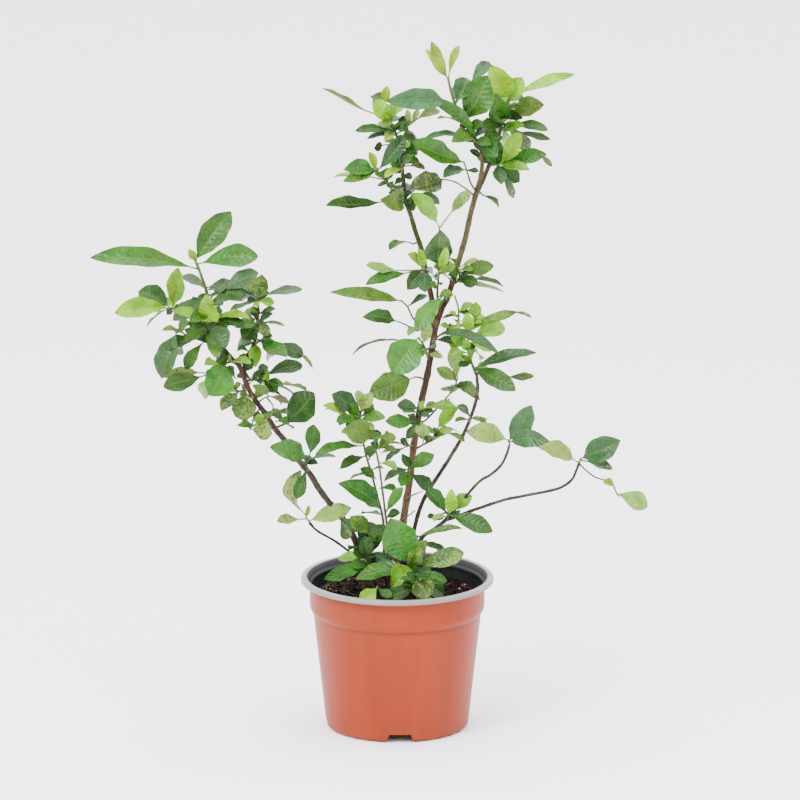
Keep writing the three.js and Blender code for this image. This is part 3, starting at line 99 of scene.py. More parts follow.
lining_grey = (0.012, 0.014, 0.015, 1)
lining_haze = (0.030, 0.032, 0.032, 1)


def rounded(corners, steps=5):
    """Points along a polyline whose corners (radius, height, rounding) become arcs.

    At each corner P with unit directions a and b to its neighbours, the arc is the quadratic curve
    (1-t)^2 (P+ra) + 2t(1-t) P + t^2 (P+rb), for t from 0 to 1.
    """
    points = []
    for i, (radius, height, rounding) in enumerate(corners):
        here = np.array([radius, height], float)
        if rounding == 0 or i in (0, len(corners) - 1):
            points.append(here)
            continue
        before = np.array(corners[i - 1][:2], float) - here
        after = np.array(corners[i + 1][:2], float) - here
        reach = min(rounding, 0.45 * np.linalg.norm(before), 0.45 * np.linalg.norm(after))
        start = here + before / np.linalg.norm(before) * reach
        end = here + after / np.linalg.norm(after) * reach
        t = np.linspace(0, 1, steps)[:, None]
        points += list((1 - t) ** 2 * start + 2 * t * (1 - t) * here + t ** 2 * end)
    return points


def ring_faces(rings, sides):
    """Faces of a closed form whose points go ring by ring, then one middle point for each end.

    The wall has a four-sided face between each two rings and sides, and a fan of triangles closes each end.
    """
    here = np.arange(rings * sides).reshape(rings, sides)
    after = np.roll(here, -1, axis=1)
    wall = np.stack([here[:-1], after[:-1], after[1:], here[1:]], axis=-1).reshape(-1, 4)
    first_end = np.stack([np.full(sides, rings * sides), after[0], here[0]], axis=-1)
    last_end = np.stack([np.full(sides, rings * sides + 1), here[-1], after[-1]], axis=-1)
    return wall.tolist() + np.stack([first_end, last_end], axis=1).reshape(-1, 3).tolist()


def moved_on(faces, start):
    """Faces with their corner numbers moved on by start, to follow other points."""
    return [[start + corner for corner in face] for face in faces]


def mesh_object(name, points, faces, materials, face_materials=None, smooth_angle=40):
    """A mesh object from points in millimetres and faces, smooth except at sharp edges."""
    mesh = bpy.data.meshes.new(name)
    mesh.from_pydata((np.asarray(points) / 1000).tolist(), [], faces)
    for material in materials:
        mesh.materials.append(material)
    if face_materials is not None:
        mesh.polygons.foreach_set("material_index", np.asarray(face_materials, dtype=np.int32))
    mesh.polygons.foreach_set("use_smooth", np.ones(len(mesh.polygons), dtype=bool))
    mesh.set_sharp_from_angle(angle=math.radians(smooth_angle))
    mesh.update()
    made = bpy.data.objects.new(name, mesh)
    bpy.context.scene.collection.objects.link(made)
    return made


def keep_values(made, name, kind, field, values):
    """Values at the points of a mesh, for its material to read."""
    made.data.attributes.new(name, kind, "POINT").data.foreach_set(field, values.ravel())


def new_material(name, **values):
    """A material with a Principled shader and those socket values; returns (material, tree, shader)."""
    material = bpy.data.materials.new(name)
    material.use_nodes = True
    shader = material.node_tree.nodes["Principled BSDF"]
    for socket, value in values.items():
        shader.inputs[socket.replace("_", " ")].default_value = value
    return material, material.node_tree, shader


def add_node(tree, kind, links=(), **settings):
    """A shader node with its settings, fed by links of (socket, source) or (socket, plain value)."""
    node = tree.nodes.new(kind)
    for name, value in settings.items():
        setattr(node, name, value)
    for socket, source in links:
        if isinstance(source, bpy.types.NodeSocket):
            tree.links.new(source, node.inputs[socket])
        else:
            node.inputs[socket].default_value = source
    return node


def node_maths(tree, operation, *values):
    """The output of one Math node, with its values in order."""
    return add_node(tree, "ShaderNodeMath", list(enumerate(values)), operation=operation).outputs["Value"]


def node_range(tree, value, low, high, to_low=0.0, to_high=1.0):
    """The output of a Map Range node that takes low to to_low and high to to_high, and keeps within them."""
    links = [("Value", value), ("From Min", low), ("From Max", high), ("To Min", to_low), ("To Max", to_high)]
    return add_node(tree, "ShaderNodeMapRange", links).outputs["Result"]


def node_noise(tree, place, scale, detail=2.0, roughness=0.5):
    """The value of a noise texture at a place."""
    links = [("Vector", place), ("Scale", scale), ("Detail", detail), ("Roughness", roughness)]
    return add_node(tree, "ShaderNodeTexNoise", links).outputs["Fac"]


def node_mix(tree, share, first, second):
    """The output of a colour Mix node."""
    links = [("Factor", share), ("A", first), ("B", second)]
    return add_node(tree, "ShaderNodeMix", links, data_type="RGBA").outputs["Result"]


def node_bump(tree, height, strength, distance, *below):
    """The normal of a Bump node, laid over the normal below it."""
    links = [("Height", height), ("Strength", strength), ("Distance", distance)]
    links += [("Normal", normal) for normal in below]
    return add_node(tree, "ShaderNodeBump", links).outputs["Normal"]


def node_place(tree, *stretch):
    """Places on the object in metres, stretched along its axes where three scales are given."""
    place = add_node(tree, "ShaderNodeTexCoord").outputs["Object"]
    if not stretch:
        return place
    return add_node(tree, "ShaderNodeMapping", [("Vector", place), ("Scale", stretch)]).outputs["Vector"]


def node_axis(tree, place, axis):
    """One coordinate of a place."""
    return add_node(tree, "ShaderNodeSeparateXYZ", [("Vector", place)]).outputs[axis]


def node_shade(tree, colour, **changes):
    """A colour with another value or hue."""
    links = [("Color", colour), *changes.items()]
    return add_node(tree, "ShaderNodeHueSaturation", links).outputs["Color"]


def feed(tree, shader, **sources):
    """Links outputs to the shader's sockets."""
    for socket, source in sources.items():
        tree.links.new(source, shader.inputs[socket.replace("_", " ")])


bands = [rounded(pot_outside), rounded(pot_lip), rounded(pot_inside)]
outline = [place for band in bands for place in band]
zones = [zone for zone, band in enumerate(bands) for _ in band]
even_turns = np.linspace(0, 2 * math.pi, 192, endpoint=False)
notch_turns = notch_turn + np.arange(4)[:, None] * math.pi / 2
notch_edges = np.radians(np.linspace(6.5, 15.5, 15))
edge_turns = np.concatenate([notch_turns + notch_edges, notch_turns - notch_edges]).ravel()
turns = np.unique(np.round(np.mod(np.concatenate([even_turns, edge_turns]), 2 * math.pi), 5))


def pot_points(outline, zones, turns):
    """The turned pot: (r cos a, r sin a, max(z, n)), with n the height of the nearest foot notch.

    n rises from 0 to the notch's height while the distance from the notch's middle line falls from
    notch_foot to notch_top. Between notches the edge of the foot is scalloped.
    """
    radius, height = np.array(outline).T[..., None]
    inner = (np.array(zones) == 2)[:, None]
    turn = np.mod(turns - notch_turn + math.pi / 4, math.pi / 2) - math.pi / 4
    aside = np.abs(radius * np.sin(turn)[None, :])
    grow = np.where(inner, pot_wall, 0)
    ramp = np.clip((notch_foot + grow - aside) / (notch_foot - notch_top), 0, 1)
    notch = np.where(radius > notch_inside - grow, (notch_height + grow) * ramp, 0)
    scallop = scallop_height * (0.5 - 0.5 * np.cos(scallop_count * turns))[None, :]
    scallop = scallop * np.clip((radius - 61) / 4, 0, 1)
    foot = height + np.where(inner | (height >= foot_height), 0, scallop)
    height = np.maximum(foot, notch)
    x = radius * np.cos(turns)[None, :]
    y = radius * np.sin(turns)[None, :]
    return np.stack([x, y, height], axis=-1)


rows = pot_points(outline[1:-1], zones[1:-1], turns)
points = rows.reshape(-1, 3).tolist() + [[0, 0, 0], [0, 0, pot_wall]]
faces = ring_faces(len(rows), len(turns))
face_zones = np.repeat(np.maximum(zones[1:-2], zones[2:-1]), len(turns)).tolist() + [0, 2] * len(turns)

outside_look, tree, shader = new_material("pot_outside", IOR=1.46, Specular_IOR_Level=0.18)
place = node_place(tree)
upright = node_axis(tree, place, "Z")
blush = node_noise(tree, place, 14.0, 4.0)
draw_marks = node_noise(tree, node_place(tree, 220.0, 220.0, 24.0), 1.0, 3.0)
ripples_and_painted_streaks = node_noise(tree, node_place(tree, 34.0, 34.0, 2.5), 1.0, 2.0)
fade = node_range(tree, blush, 0.42, 0.72, 0.0, 0.22)
foot_wear = node_range(tree, upright, 0.02, 0.0, 0.0, 0.5)
worn = node_mix(tree, node_maths(tree, "MAXIMUM", fade, foot_wear), terracotta, terracotta_worn)
# Painted light: long vertical streaks make the colour a little lighter and darker, standing in for soft
# vertical highlights and shade. The same streaks also ripple the surface through the bump below.
painted_streak_light = node_range(tree, ripples_and_painted_streaks, 0.35, 0.65, 0.9, 1.08)
shaded = node_shade(tree, worn, Value=painted_streak_light)
# Painted shade: the colour darkens to brown in a thin line along the crease under the step, and in the band
# just under the turned-out lip, where the lip shades the wall.
below_crease = node_range(tree, upright, 0.1130, 0.1170)
above_crease = node_range(tree, upright, 0.1186, 0.1174)
painted_crease_shade = node_maths(tree, "MULTIPLY", node_maths(tree, "MULTIPLY", below_crease, above_crease), 0.55)
painted_lip_shadow = node_range(tree, upright, 0.1475, 0.1520, 0.0, 0.6)
painted_shade = node_maths(tree, "MAXIMUM", painted_crease_shade, painted_lip_shadow)
feed(tree, shader, Base_Color=node_mix(tree, painted_shade, shaded, painted_shade_brown))
feed(tree, shader, Roughness=node_range(tree, draw_marks, 0.0, 1.0, 0.36, 0.52))
skin = node_bump(tree, draw_marks, 0.25, 0.0004)
feed(tree, shader, Normal=node_bump(tree, ripples_and_painted_streaks, 0.3, 0.002, skin))

rim_look, tree, shader = new_material("pot_rim")
place = node_place(tree)
scuffs = node_noise(tree, place, 90.0, 5.0)
dusty = node_mix(tree, node_range(tree, scuffs, 0.5, 0.75), rim_grey, rim_dust)
# Painted shade: the rim darkens towards the front, and in narrow rings along its outer face and its inner
# edge, where the lip turns down away from the light.
forward = node_range(tree, node_axis(tree, place, "Y"), 0.0, -0.09, 0.0, 0.6)
front_shaded = node_mix(tree, forward, dusty, rim_shade_grey)
level_links = [(0, place), (1, (1.0, 1.0, 0.0))]
level = add_node(tree, "ShaderNodeVectorMath", level_links, operation="MULTIPLY").outputs["Vector"]
outward = add_node(tree, "ShaderNodeVectorMath", [(0, level)], operation="LENGTH").outputs["Value"]
outer_edge = node_range(tree, outward, 0.0952, 0.0961, 0.0, 0.6)
inner_edge = node_range(tree, outward, 0.0916, 0.0905, 0.0, 0.45)
edges = node_maths(tree, "MAXIMUM", outer_edge, inner_edge)
feed(tree, shader, Base_Color=node_mix(tree, edges, front_shaded, rim_shade_grey))
feed(tree, shader, Roughness=node_range(tree, scuffs, 0.0, 1.0, 0.24, 0.5))
feed(tree, shader, Normal=node_bump(tree, node_noise(tree, place, 300.0, 3.0), 0.3, 0.0003))

inside_look, tree, shader = new_material("pot_lining", Specular_IOR_Level=0.3)
place = node_place(tree)
water_marks = node_noise(tree, place, 35.0, 6.0)
haze = node_range(tree, water_marks, 0.45, 0.8, 0.0, 0.6)
feed(tree, shader, Base_Color=node_mix(tree, haze, lining_grey, lining_haze))
feed(tree, shader, Roughness=node_range(tree, water_marks, 0.3, 0.7, 0.42, 0.6))
rolled = node_noise(tree, node_place(tree, 90.0, 90.0, 14.0), 1.0, 2.0)
feed(tree, shader, Normal=node_bump(tree, rolled, 0.3, 0.0008))

pot = mesh_object("pot_shell", points, faces, [outside_look, rim_look, inside_look], face_zones)
cutters = []
for hole in range(drain_count):
    angle = (hole + 0.5) / drain_count * 2 * math.pi
    centre = Vector((drain_circle * math.cos(angle), drain_circle * math.sin(angle), drain_middle)) / 1000
    radius, depth = drain_radius / 1000, drain_cut / 1000
    bpy.ops.mesh.primitive_cylinder_add(vertices=32, radius=radius, depth=depth, location=centre)
    cutter = bpy.context.object
    cut = pot.modifiers.new("drain", "BOOLEAN")
    cut.operation = "DIFFERENCE"
    cut.solver = "EXACT"
    cut.object = cutter
    cutters.append(cutter)
bpy.context.view_layer.objects.active = pot
for modifier in list(pot.modifiers):
    bpy.ops.object.modifier_apply(modifier=modifier.name)
for cutter in cutters:
    bpy.data.objects.remove(cutter)
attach(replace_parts(pot, "pot"), "root")

# Soil
# Peat and bark potting mix, dark and damp, with white grains of perlite and pale bits of root and bark.
# It fills the pot to 20 mm below the rim and is heaped a little to the left.
soil_top = pot_height - 20
soil_radius = 84
soil_low = 8.7
heap_height = 3.5
soil_dark = (0.0030, 0.0011, 0.0006, 1)
soil_brown = (0.0105, 0.0040, 0.0020, 1)
soil_red = (0.020, 0.0050, 0.0028, 1)
soil_algae = (0.13, 0.12, 0.045, 1)
fibre_tan = (0.075, 0.040, 0.020, 1)
fibre_brown = (0.028, 0.014, 0.008, 1)
perlite_white = (0.42, 0.41, 0.37, 1)
perlite_stain = (0.16, 0.12, 0.085, 1)
crumb_count = 900
perlite_count = 70
strewn_radius = 79
fibre_count = 120
fibre_steps = 5
fibre_radius = 76
fibre_shortest = 3
fibre_longest = 14
fibre_thinnest = 0.16
fibre_thickest = 0.41
fibre_bend = 0.9
fibre_lift = 0.5
fibre_arch = 0.8
clear_radius = 82


def soil_height(x, y):
    """Height of the soil's surface: two waves of lumps, a heap towards -x, flat at the edge; all in mm."""
    edge = 1 - (np.hypot(x, y) / soil_radius) ** 4
    lumps = 1.6 * np.sin(x / 9 + 1) * np.cos(y / 7) + 1.1 * np.sin(x / 5 - y / 6)
    heap = heap_height * np.maximum(0, -x / soil_radius)
    return soil_top + edge * (lumps + heap)


def crumbs_relief(x, y):
    """Small crumbs in the surface: folded sines at 2.6, 1.7 and 1.1 mm, up to about 1.1 mm high."""
    coarse = np.abs(np.sin(x / 2.6 + 2 * np.sin(y / 5.1)) * np.sin(y / 2.3 + 2 * np.sin(x / 4.3)))
    middle = np.abs(np.sin(x / 1.7 + 3 * np.sin(y / 3.7)) * np.sin(y / 1.5 + 1.5 * np.sin(x / 2.9)))
    fine = np.sin(x / 1.1 + y / 3) * np.sin(y / 0.9 - x / 4)
    return 0.9 * coarse + 0.6 * middle + 0.25 * fine - 0.6


side = np.array([(70.2, soil_low), (81.9, 116), (85.5, 122.8), (85.5, soil_top - 1)])
radii = np.concatenate([side[:, 0], [soil_radius, 83.4, 82], np.linspace(0.9, 80, 88)[::-1]])
turns = np.linspace(0, 2 * math.pi, 260, endpoint=False)
x = radii[:, None] * np.cos(turns)
y = radii[:, None] * np.sin(turns)
z = soil_height(x, y) + crumbs_relief(x, y) * np.clip((soil_radius - radii) / 4, 0, 1)[:, None]
z[:len(side)] = side[:, 1:]
rows = np.stack([x, y, z], axis=-1)
points = rows.reshape(-1, 3).tolist() + [[0, 0, soil_low], [0, 0, float(soil_height(0, 0))]]
faces = ring_faces(len(rows), len(turns))

soil_look, tree, shader = new_material("soil", Roughness=0.85, Specular_IOR_Level=0.06)
place = node_place(tree)
clods = node_noise(tree, place, 160.0, 8.0, 0.7)
damp = node_mix(tree, node_range(tree, clods, 0.38, 0.7), soil_dark, soil_brown)
bark_bits = node_range(tree, node_noise(tree, place, 55.0, 3.0), 0.56, 0.66, 0.0, 0.7)
barked = node_mix(tree, bark_bits, damp, soil_red)
algae = node_range(tree, node_noise(tree, place, 260.0, 4.0), 0.54, 0.62)
leftward = node_range(tree, node_axis(tree, place, "X"), -0.045, -0.075)
leftward = node_maths(tree, "MULTIPLY", algae, leftward)
feed(tree, shader, Base_Color=node_mix(tree, leftward, barked, soil_algae))
grains = add_node(tree, "ShaderNodeTexVoronoi", [("Vector", place), ("Scale", 700.0)]).outputs["Distance"]
feed(tree, shader, Normal=node_bump(tree, grains, 0.9, 0.0008))
soil = mesh_object("soil_fill", points, faces, [soil_look], smooth_angle=60)
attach(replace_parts(soil, "soil"), "root")

dice = np.random.default_rng(11)
octahedron = np.array([(1, 0, 0), (-1, 0, 0), (0, 1, 0), (0, -1, 0), (0, 0, 1), (0, 0, -1)], float)
octahedron_faces = [(0, 2, 4), (2, 1, 4), (1, 3, 4), (3, 0, 4), (2, 0, 5), (1, 2, 5), (3, 1, 5), (0, 3, 5)]


def scattered_grains(count, smallest, largest, sink):
    """Rough octahedral grains strewn on the soil, with a share of their size sunk into it.

    Each corner lies at place + size * stretch * turned unit corner.
    """
    points, faces = [], []
    for _ in range(count):
        radius = strewn_radius * math.sqrt(dice.random())
        angle = dice.random() * 2 * math.pi
        x, y = radius * math.cos(angle), radius * math.sin(angle)
        size = smallest + (largest - smallest) * dice.random() ** 2
        turned = np.linalg.qr(dice.normal(size=(3, 3)))[0]
        turned[:, 0] *= np.sign(np.linalg.det(turned))
        corners = (octahedron * (0.7 + 0.6 * dice.random((6, 3)))) @ turned.T * size
        height = float(soil_height(x, y)) + size * (1 - sink)
        faces += moved_on(octahedron_faces, len(points))
        points += (corners + (x, y, height)).tolist()
    return points, faces


points, faces = scattered_grains(crumb_count, 0.6, 2.4, 0.6)
crumbs = mesh_object("soil_crumbs", points, faces, [soil_look], smooth_angle=70)
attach(crumbs, "root")

perlite_look, tree, shader = new_material("perlite", Roughness=0.8)
pits = node_noise(tree, node_place(tree), 900.0, 3.0)
feed(tree, shader, Base_Color=node_mix(tree, node_range(tree, pits, 0.5, 0.7), perlite_white, perlite_stain))
feed(tree, shader, Normal=node_bump(tree, pits, 0.8, 0.0004))
points, faces = scattered_grains(perlite_count, 0.5, 1.4, 0.4)
perlite = mesh_object("perlite", points, faces, [perlite_look], smooth_angle=30)
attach(perlite, "root")

fibre_look, tree, shader = new_material("fibre", Roughness=0.7)
blotch = node_noise(tree, node_place(tree), 300.0)
feed(tree, shader, Base_Color=node_mix(tree, blotch, fibre_tan, fibre_brown))
grid = np.arange(4 * fibre_steps + 4).reshape(-1, 4)
after = np.roll(grid, -1, axis=1)
rod = np.stack([grid[:-1], grid[1:], after[1:], after[:-1]], axis=-1).reshape(-1, 4).tolist()
rod += [grid[0].tolist(), grid[-1, ::-1].tolist()]
share = np.linspace(0, 1, fibre_steps + 1)
points, faces = [], []
for _ in range(fibre_count):
    radius = fibre_radius * math.sqrt(dice.random())
    angle = dice.random() * 2 * math.pi
    heading = dice.random() * 2 * math.pi
    length = fibre_shortest + (fibre_longest - fibre_shortest) * dice.random() ** 2
    way = heading + dice.normal() * fibre_bend * share
    thick = fibre_thinnest + (fibre_thickest - fibre_thinnest) * dice.random()
    start = radius * np.array([math.cos(angle), math.sin(angle)])
    line = start + length * share[:, None] * np.stack([np.cos(way), np.sin(way)], axis=-1)
    line *= np.minimum(1, clear_radius / np.linalg.norm(line, axis=1))[:, None]
    lift = soil_height(*line.T) + fibre_lift + fibre_arch * np.sin(math.pi * share)
    aside = thick * np.stack([-np.sin(way), np.cos(way)], axis=-1)
    corners = [(line + aside, lift), (line, lift + thick), (line - aside, lift), (line, lift - thick)]
    faces += moved_on(rod, len(points))
    points += np.stack([np.column_stack(corner) for corner in corners], axis=1).reshape(-1, 3).tolist()
fibres = mesh_object("soil_fibres", points, faces, [fibre_look], smooth_angle=60)
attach(fibres, "root")

# Wood
# Five woody stems stand in the soil and carry the shoots. The bark is thin and grey brown, finely cracked
# along the stem, with a swollen ring and a pale scar at each old leaf node. Young ends are smoother.
view_tilt = math.radians(15)
root_depth = 45
stem_ring = 1.6
left_forward = 55
sprays_forward = 45
crown_depth = 36
crown_middle = 45
crown_half = 55
curve_steps = 16
node_swell = 0.12
node_spread = 2.2
node_distance = 24
tan_bark = (0.105, 0.056, 0.028)
red_bark = (0.036, 0.013, 0.0062)
olive_bark = (0.060, 0.048, 0.016)
green_bark = (0.026, 0.036, 0.006)
dark_bark = (0.030, 0.022, 0.017)
plum_bark = (0.040, 0.026, 0.019)
thin_bark = (0.025, 0.0205, 0.0180)
pale_scar = (0.11, 0.080, 0.042, 1)
bark_heights = (260, 345, 420, 480)
bark_tones = {
    "main_stem": (tan_bark, red_bark, red_bark, olive_bark),
    "left_stem": (plum_bark, red_bark, red_bark, red_bark),
    "right_stem": (dark_bark, dark_bark, dark_bark, dark_bark),
    "spray_stem": (thin_bark, thin_bark, thin_bark, thin_bark),
    "low_left_stem": (dark_bark, dark_bark, dark_bark, dark_bark),
}


def smooth_step(value, low, high):
    """3t^2 - 2t^3, with t the share of the way from low to high, kept from 0 to 1."""
    t = np.clip((value - low) / (high - low), 0, 1)
    return t * t * (3 - 2 * t)


def seen(places):
    """Places (across, up, back) of the tilted view as (x, y, z).

    y = back * spread + left stem's, sprays' and crown's own depth, and z = (up - y sin 15) / cos 15.
    """
    across, up, back = np.asarray(places, float).T
    spread = 1 + 0.8 * smooth_step(up, 150, 260)
    left_stem = -left_forward * smooth_step(-across, 30, 200)
    sprays = -sprays_forward * smooth_step(across, 40, 220) * (1 - smooth_step(up, 300, 400))
    crown = crown_depth * smooth_step(up, 330, 520) * np.clip((across - crown_middle) / crown_half, -1, 1)
    depth = back * spread + left_stem + sprays + crown
    return np.stack([across, depth, (up - depth * math.sin(view_tilt)) / math.cos(view_tilt)], axis=-1)


def course(path, rooted, spacing):
    """Points a given distance apart on the centripetal Catmull-Rom curve through a path.

    Between points P1 and P2 the curve is the cubic Hermite curve whose tangents come from knots t with
    t2 - t1 = |P2 - P1|^0.5. A rooted stem first goes straight down into the soil.
    """
    if rooted:
        across, up, back = path[0]
        drop = root_depth * math.cos(view_tilt)
        path = [(across, up - drop, back), (across, up - drop / 2, back), *path]
    points = seen(path)
    points = np.concatenate([[2 * points[0] - points[1]], points, [2 * points[-1] - points[-2]]])
    dense = []
    for p0, p1, p2, p3 in zip(points, points[1:], points[2:], points[3:]):
        k0, k1, k2 = (math.sqrt(np.linalg.norm(b - a)) for a, b in ((p0, p1), (p1, p2), (p2, p3)))
        m1 = ((p1 - p0) / k0 - (p2 - p0) / (k0 + k1) + (p2 - p1) / k1) * k1
        m2 = ((p2 - p1) / k1 - (p3 - p1) / (k1 + k2) + (p3 - p2) / k2) * k1
        t = np.linspace(0, 1, curve_steps, endpoint=False)[:, None]
        hermite = (2 * t**3 - 3 * t**2 + 1) * p1 + (t**3 - 2 * t**2 + t) * m1
        dense.append(hermite + (3 * t**2 - 2 * t**3) * p2 + (t**3 - t**2) * m2)
    dense = np.concatenate([*dense, points[-2:-1]])
    gone = np.concatenate([[0], np.cumsum(np.linalg.norm(np.diff(dense, axis=0), axis=1))])
    steps = max(int(gone[-1] / spacing), 4)
    shares = np.linspace(0, gone[-1], steps + 1)
    return np.stack([np.interp(shares, gone, dense[:, axis]) for axis in range(3)], axis=-1), shares


def tube(centres, radii, sides):
    """A closed tube: centre + radius(ring, side) (n cos a + b sin a), with n carried along the curve."""
    ways = np.gradient(centres, axis=0)
    ways /= np.linalg.norm(ways, axis=1)[:, None]
    normal = np.cross(ways[0], (0.3, 0.9, 0.2))
    rings = []
    for centre, way, radius in zip(centres, ways, radii):
        normal = normal - way * normal.dot(way)
        normal /= np.linalg.norm(normal)
        other = np.cross(way, normal)
        turns = np.linspace(0, 2 * math.pi, sides, endpoint=False)
        spokes = np.cos(turns)[:, None] * normal + np.sin(turns)[:, None] * other
        rings.append(centre + radius[:, None] * spokes)
    return np.concatenate([*rings, centres[:1], centres[-1:]]), ring_faces(len(rings), sides)


def bark_radii(shares, radii, sides, salt):
    """Radius of a stem at each ring and side.

    It tapers evenly, swells by about a tenth at each node and carries two sets of long low ridges.
    """
    base = np.interp(shares, (0, shares[-1]), radii)[:, None]
    turns = np.linspace(0, 2 * math.pi, sides, endpoint=False)[None, :]
    along = shares[:, None]
    node_gap = node_distance * (1 + 0.25 * math.sin(salt))
    node = np.exp(-((np.mod(along + 9 * salt, node_gap) - node_gap / 2) / node_spread) ** 2)
    ridges = 0.035 * np.sin(5 * turns + along / 9 + salt) + 0.025 * np.sin(9 * turns - along / 5)
    lumps = 0.03 * np.sin(along / 3.1 + 2 * np.sin(turns + salt))
    return base * (0.97 + node_swell * node + ridges + lumps)


# For each piece its stems: a path of places in the tilted view and the radius at both ends. Those marked
# as rooted stand in the soil.
woods = {
    "main_stem": [
        ([(-4, 132, 10), (-1, 160, 10), (6, 204, 9), (11, 234, 7), (16, 274, 4), (20.5, 304, 2),
          (24.5, 324, 1), (29, 344, 0), (33, 366, 0), (36, 384, 0), (39, 399, 0), (44, 414, 0),
          (49, 424, 1), (56, 444, 2), (60, 459, 3), (64, 472, 4), (68, 486, 5), (73, 509, 5),
          (78, 529, 5)], (4.2, 2.8), "rooted"),
        ([(77, 525, 5), (84, 552, 3), (83, 578, 0)], (2.6, 1.9)),
        ([(78, 527, 5), (90, 554, 7), (98, 575, 8), (103, 594, 8)], (2.6, 1.9)),
        ([(37, 394, 0), (34, 426, 4), (31, 439, 7), (26, 464, 11), (24, 474, 13), (19, 489, 14),
          (13, 509, 16), (8, 524, 17), (6, 544, 18), (4, 564, 18)], (3.2, 2)),
        ([(9, 226, 4), (17, 230, -8), (25, 233, -14)], (1, 0.7)),
        ([(3, 203, 6), (10, 208, -4), (18, 214, -10)], (1, 0.7)),
    ],
    "left_stem": [
        ([(-31, 133, 15), (-34, 156, 15), (-39, 176, 15), (-47, 194, 14), (-57, 209, 13), (-68, 222, 12),
          (-79, 237, 10), (-86, 249, 9), (-94, 259, 8), (-100, 266, 7), (-112, 284, 5), (-122, 296, 4),
          (-130, 309, 3), (-139, 321, 2), (-147, 334, 0), (-152, 346, -1), (-157, 358, -2),
          (-165, 366, -2), (-175, 379, 0), (-187, 399, 2)], (3.8, 2.3), "rooted"),
        ([(-152, 350, -2), (-150, 366, 2), (-145, 374, 5), (-141, 384, 8), (-139, 399, 10),
          (-138, 420, 12)], (2.2, 1.6)),
    ],
    "right_stem": [
        ([(9, 132, 30), (14, 170, 24), (17, 195, 20), (24, 219, 16), (30, 231, 14), (36, 241, 12),
          (54, 269, 6), (67, 292, 0), (76, 315, -6), (80, 333, -10), (79, 351, -14)], (2.6, 1.7), "rooted"),
    ],
    "spray_stem": [
        ([(17, 131, -4), (21, 160, -8), (24, 186, -12), (38, 196, -14),
          (50, 206, -15)], (2.6, 2.1), "rooted"),
        ([(48, 204, -15), (58, 216, -17), (69, 229, -19), (83, 244, -22), (93, 250, -23), (103, 259, -24),
          (109, 271, -25), (111, 278, -25)], (1.7, 1.4)),
        ([(48, 204, -15), (75, 214, -12), (108, 225, -6), (123, 228, -2), (153, 234, 4), (165, 238, 6),
          (174, 245, 8), (178, 253, 9), (181, 261, 10)], (1.8, 1.4)),
    ],
    "low_left_stem": [
        ([(-20, 138, 35), (-32, 156, 33), (-45, 170, 30), (-62, 183, 26), (-79, 193, 22),
          (-88, 201, 20)], (1.6, 1.2), "rooted"),
    ],
}

bark_look, tree, shader = new_material("bark", Specular_IOR_Level=0.2)
tint = add_node(tree, "ShaderNodeAttribute", attribute_name="tint").outputs["Color"]
cracks = node_noise(tree, node_place(tree, 520.0, 520.0, 110.0), 1.0, 6.0, 0.65)
crack_value = node_range(tree, cracks, 0.35, 0.65, 0.45, 1.35)
cracked = node_shade(tree, tint, Value=crack_value)
scars = node_range(tree, node_noise(tree, node_place(tree), 85.0, 5.0), 0.54, 0.72, 0.0, 0.65)
lichen = node_range(tree, node_noise(tree, node_place(tree), 620.0, 2.0), 0.66, 0.74, 0.0, 0.5)
feed(tree, shader, Base_Color=node_mix(tree, node_maths(tree, "MAXIMUM", scars, lichen), cracked, pale_scar))
feed(tree, shader, Roughness=node_range(tree, cracks, 0.3, 0.7, 0.82, 0.55))
feed(tree, shader, Normal=node_bump(tree, cracks, 0.8, 0.0005))

for name, stems in woods.items():
    points, faces = [], []
    for number, (path, radii, *rooted) in enumerate(stems):
        centres, shares = course(path, rooted, stem_ring)
        sides = 20 if radii[0] > 3 else 14
        swollen = bark_radii(shares, radii, sides, number + len(name))
        stem_points, stem_faces = tube(centres, swollen, sides)
        faces += moved_on(stem_faces, len(points))
        points += stem_points.tolist()
    wood = mesh_object(name + "_bark", points, faces, [bark_look], smooth_angle=80)
    across, depth, height = np.array(points).T
    up = height * math.cos(view_tilt) + depth * math.sin(view_tilt)
    bark = [np.interp(up, bark_heights, channel) for channel in zip(*bark_tones[name])]
    if name == "main_stem":
        fork = smooth_step(up, 420, 480) * (across < 33)
        bark = [plain + (green - plain) * fork for plain, green in zip(bark, green_bark)]
    keep_values(wood, "tint", "FLOAT_COLOR", "color", np.stack([*bark, np.ones(len(points))], axis=-1))
    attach(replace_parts(wood, name), "root")

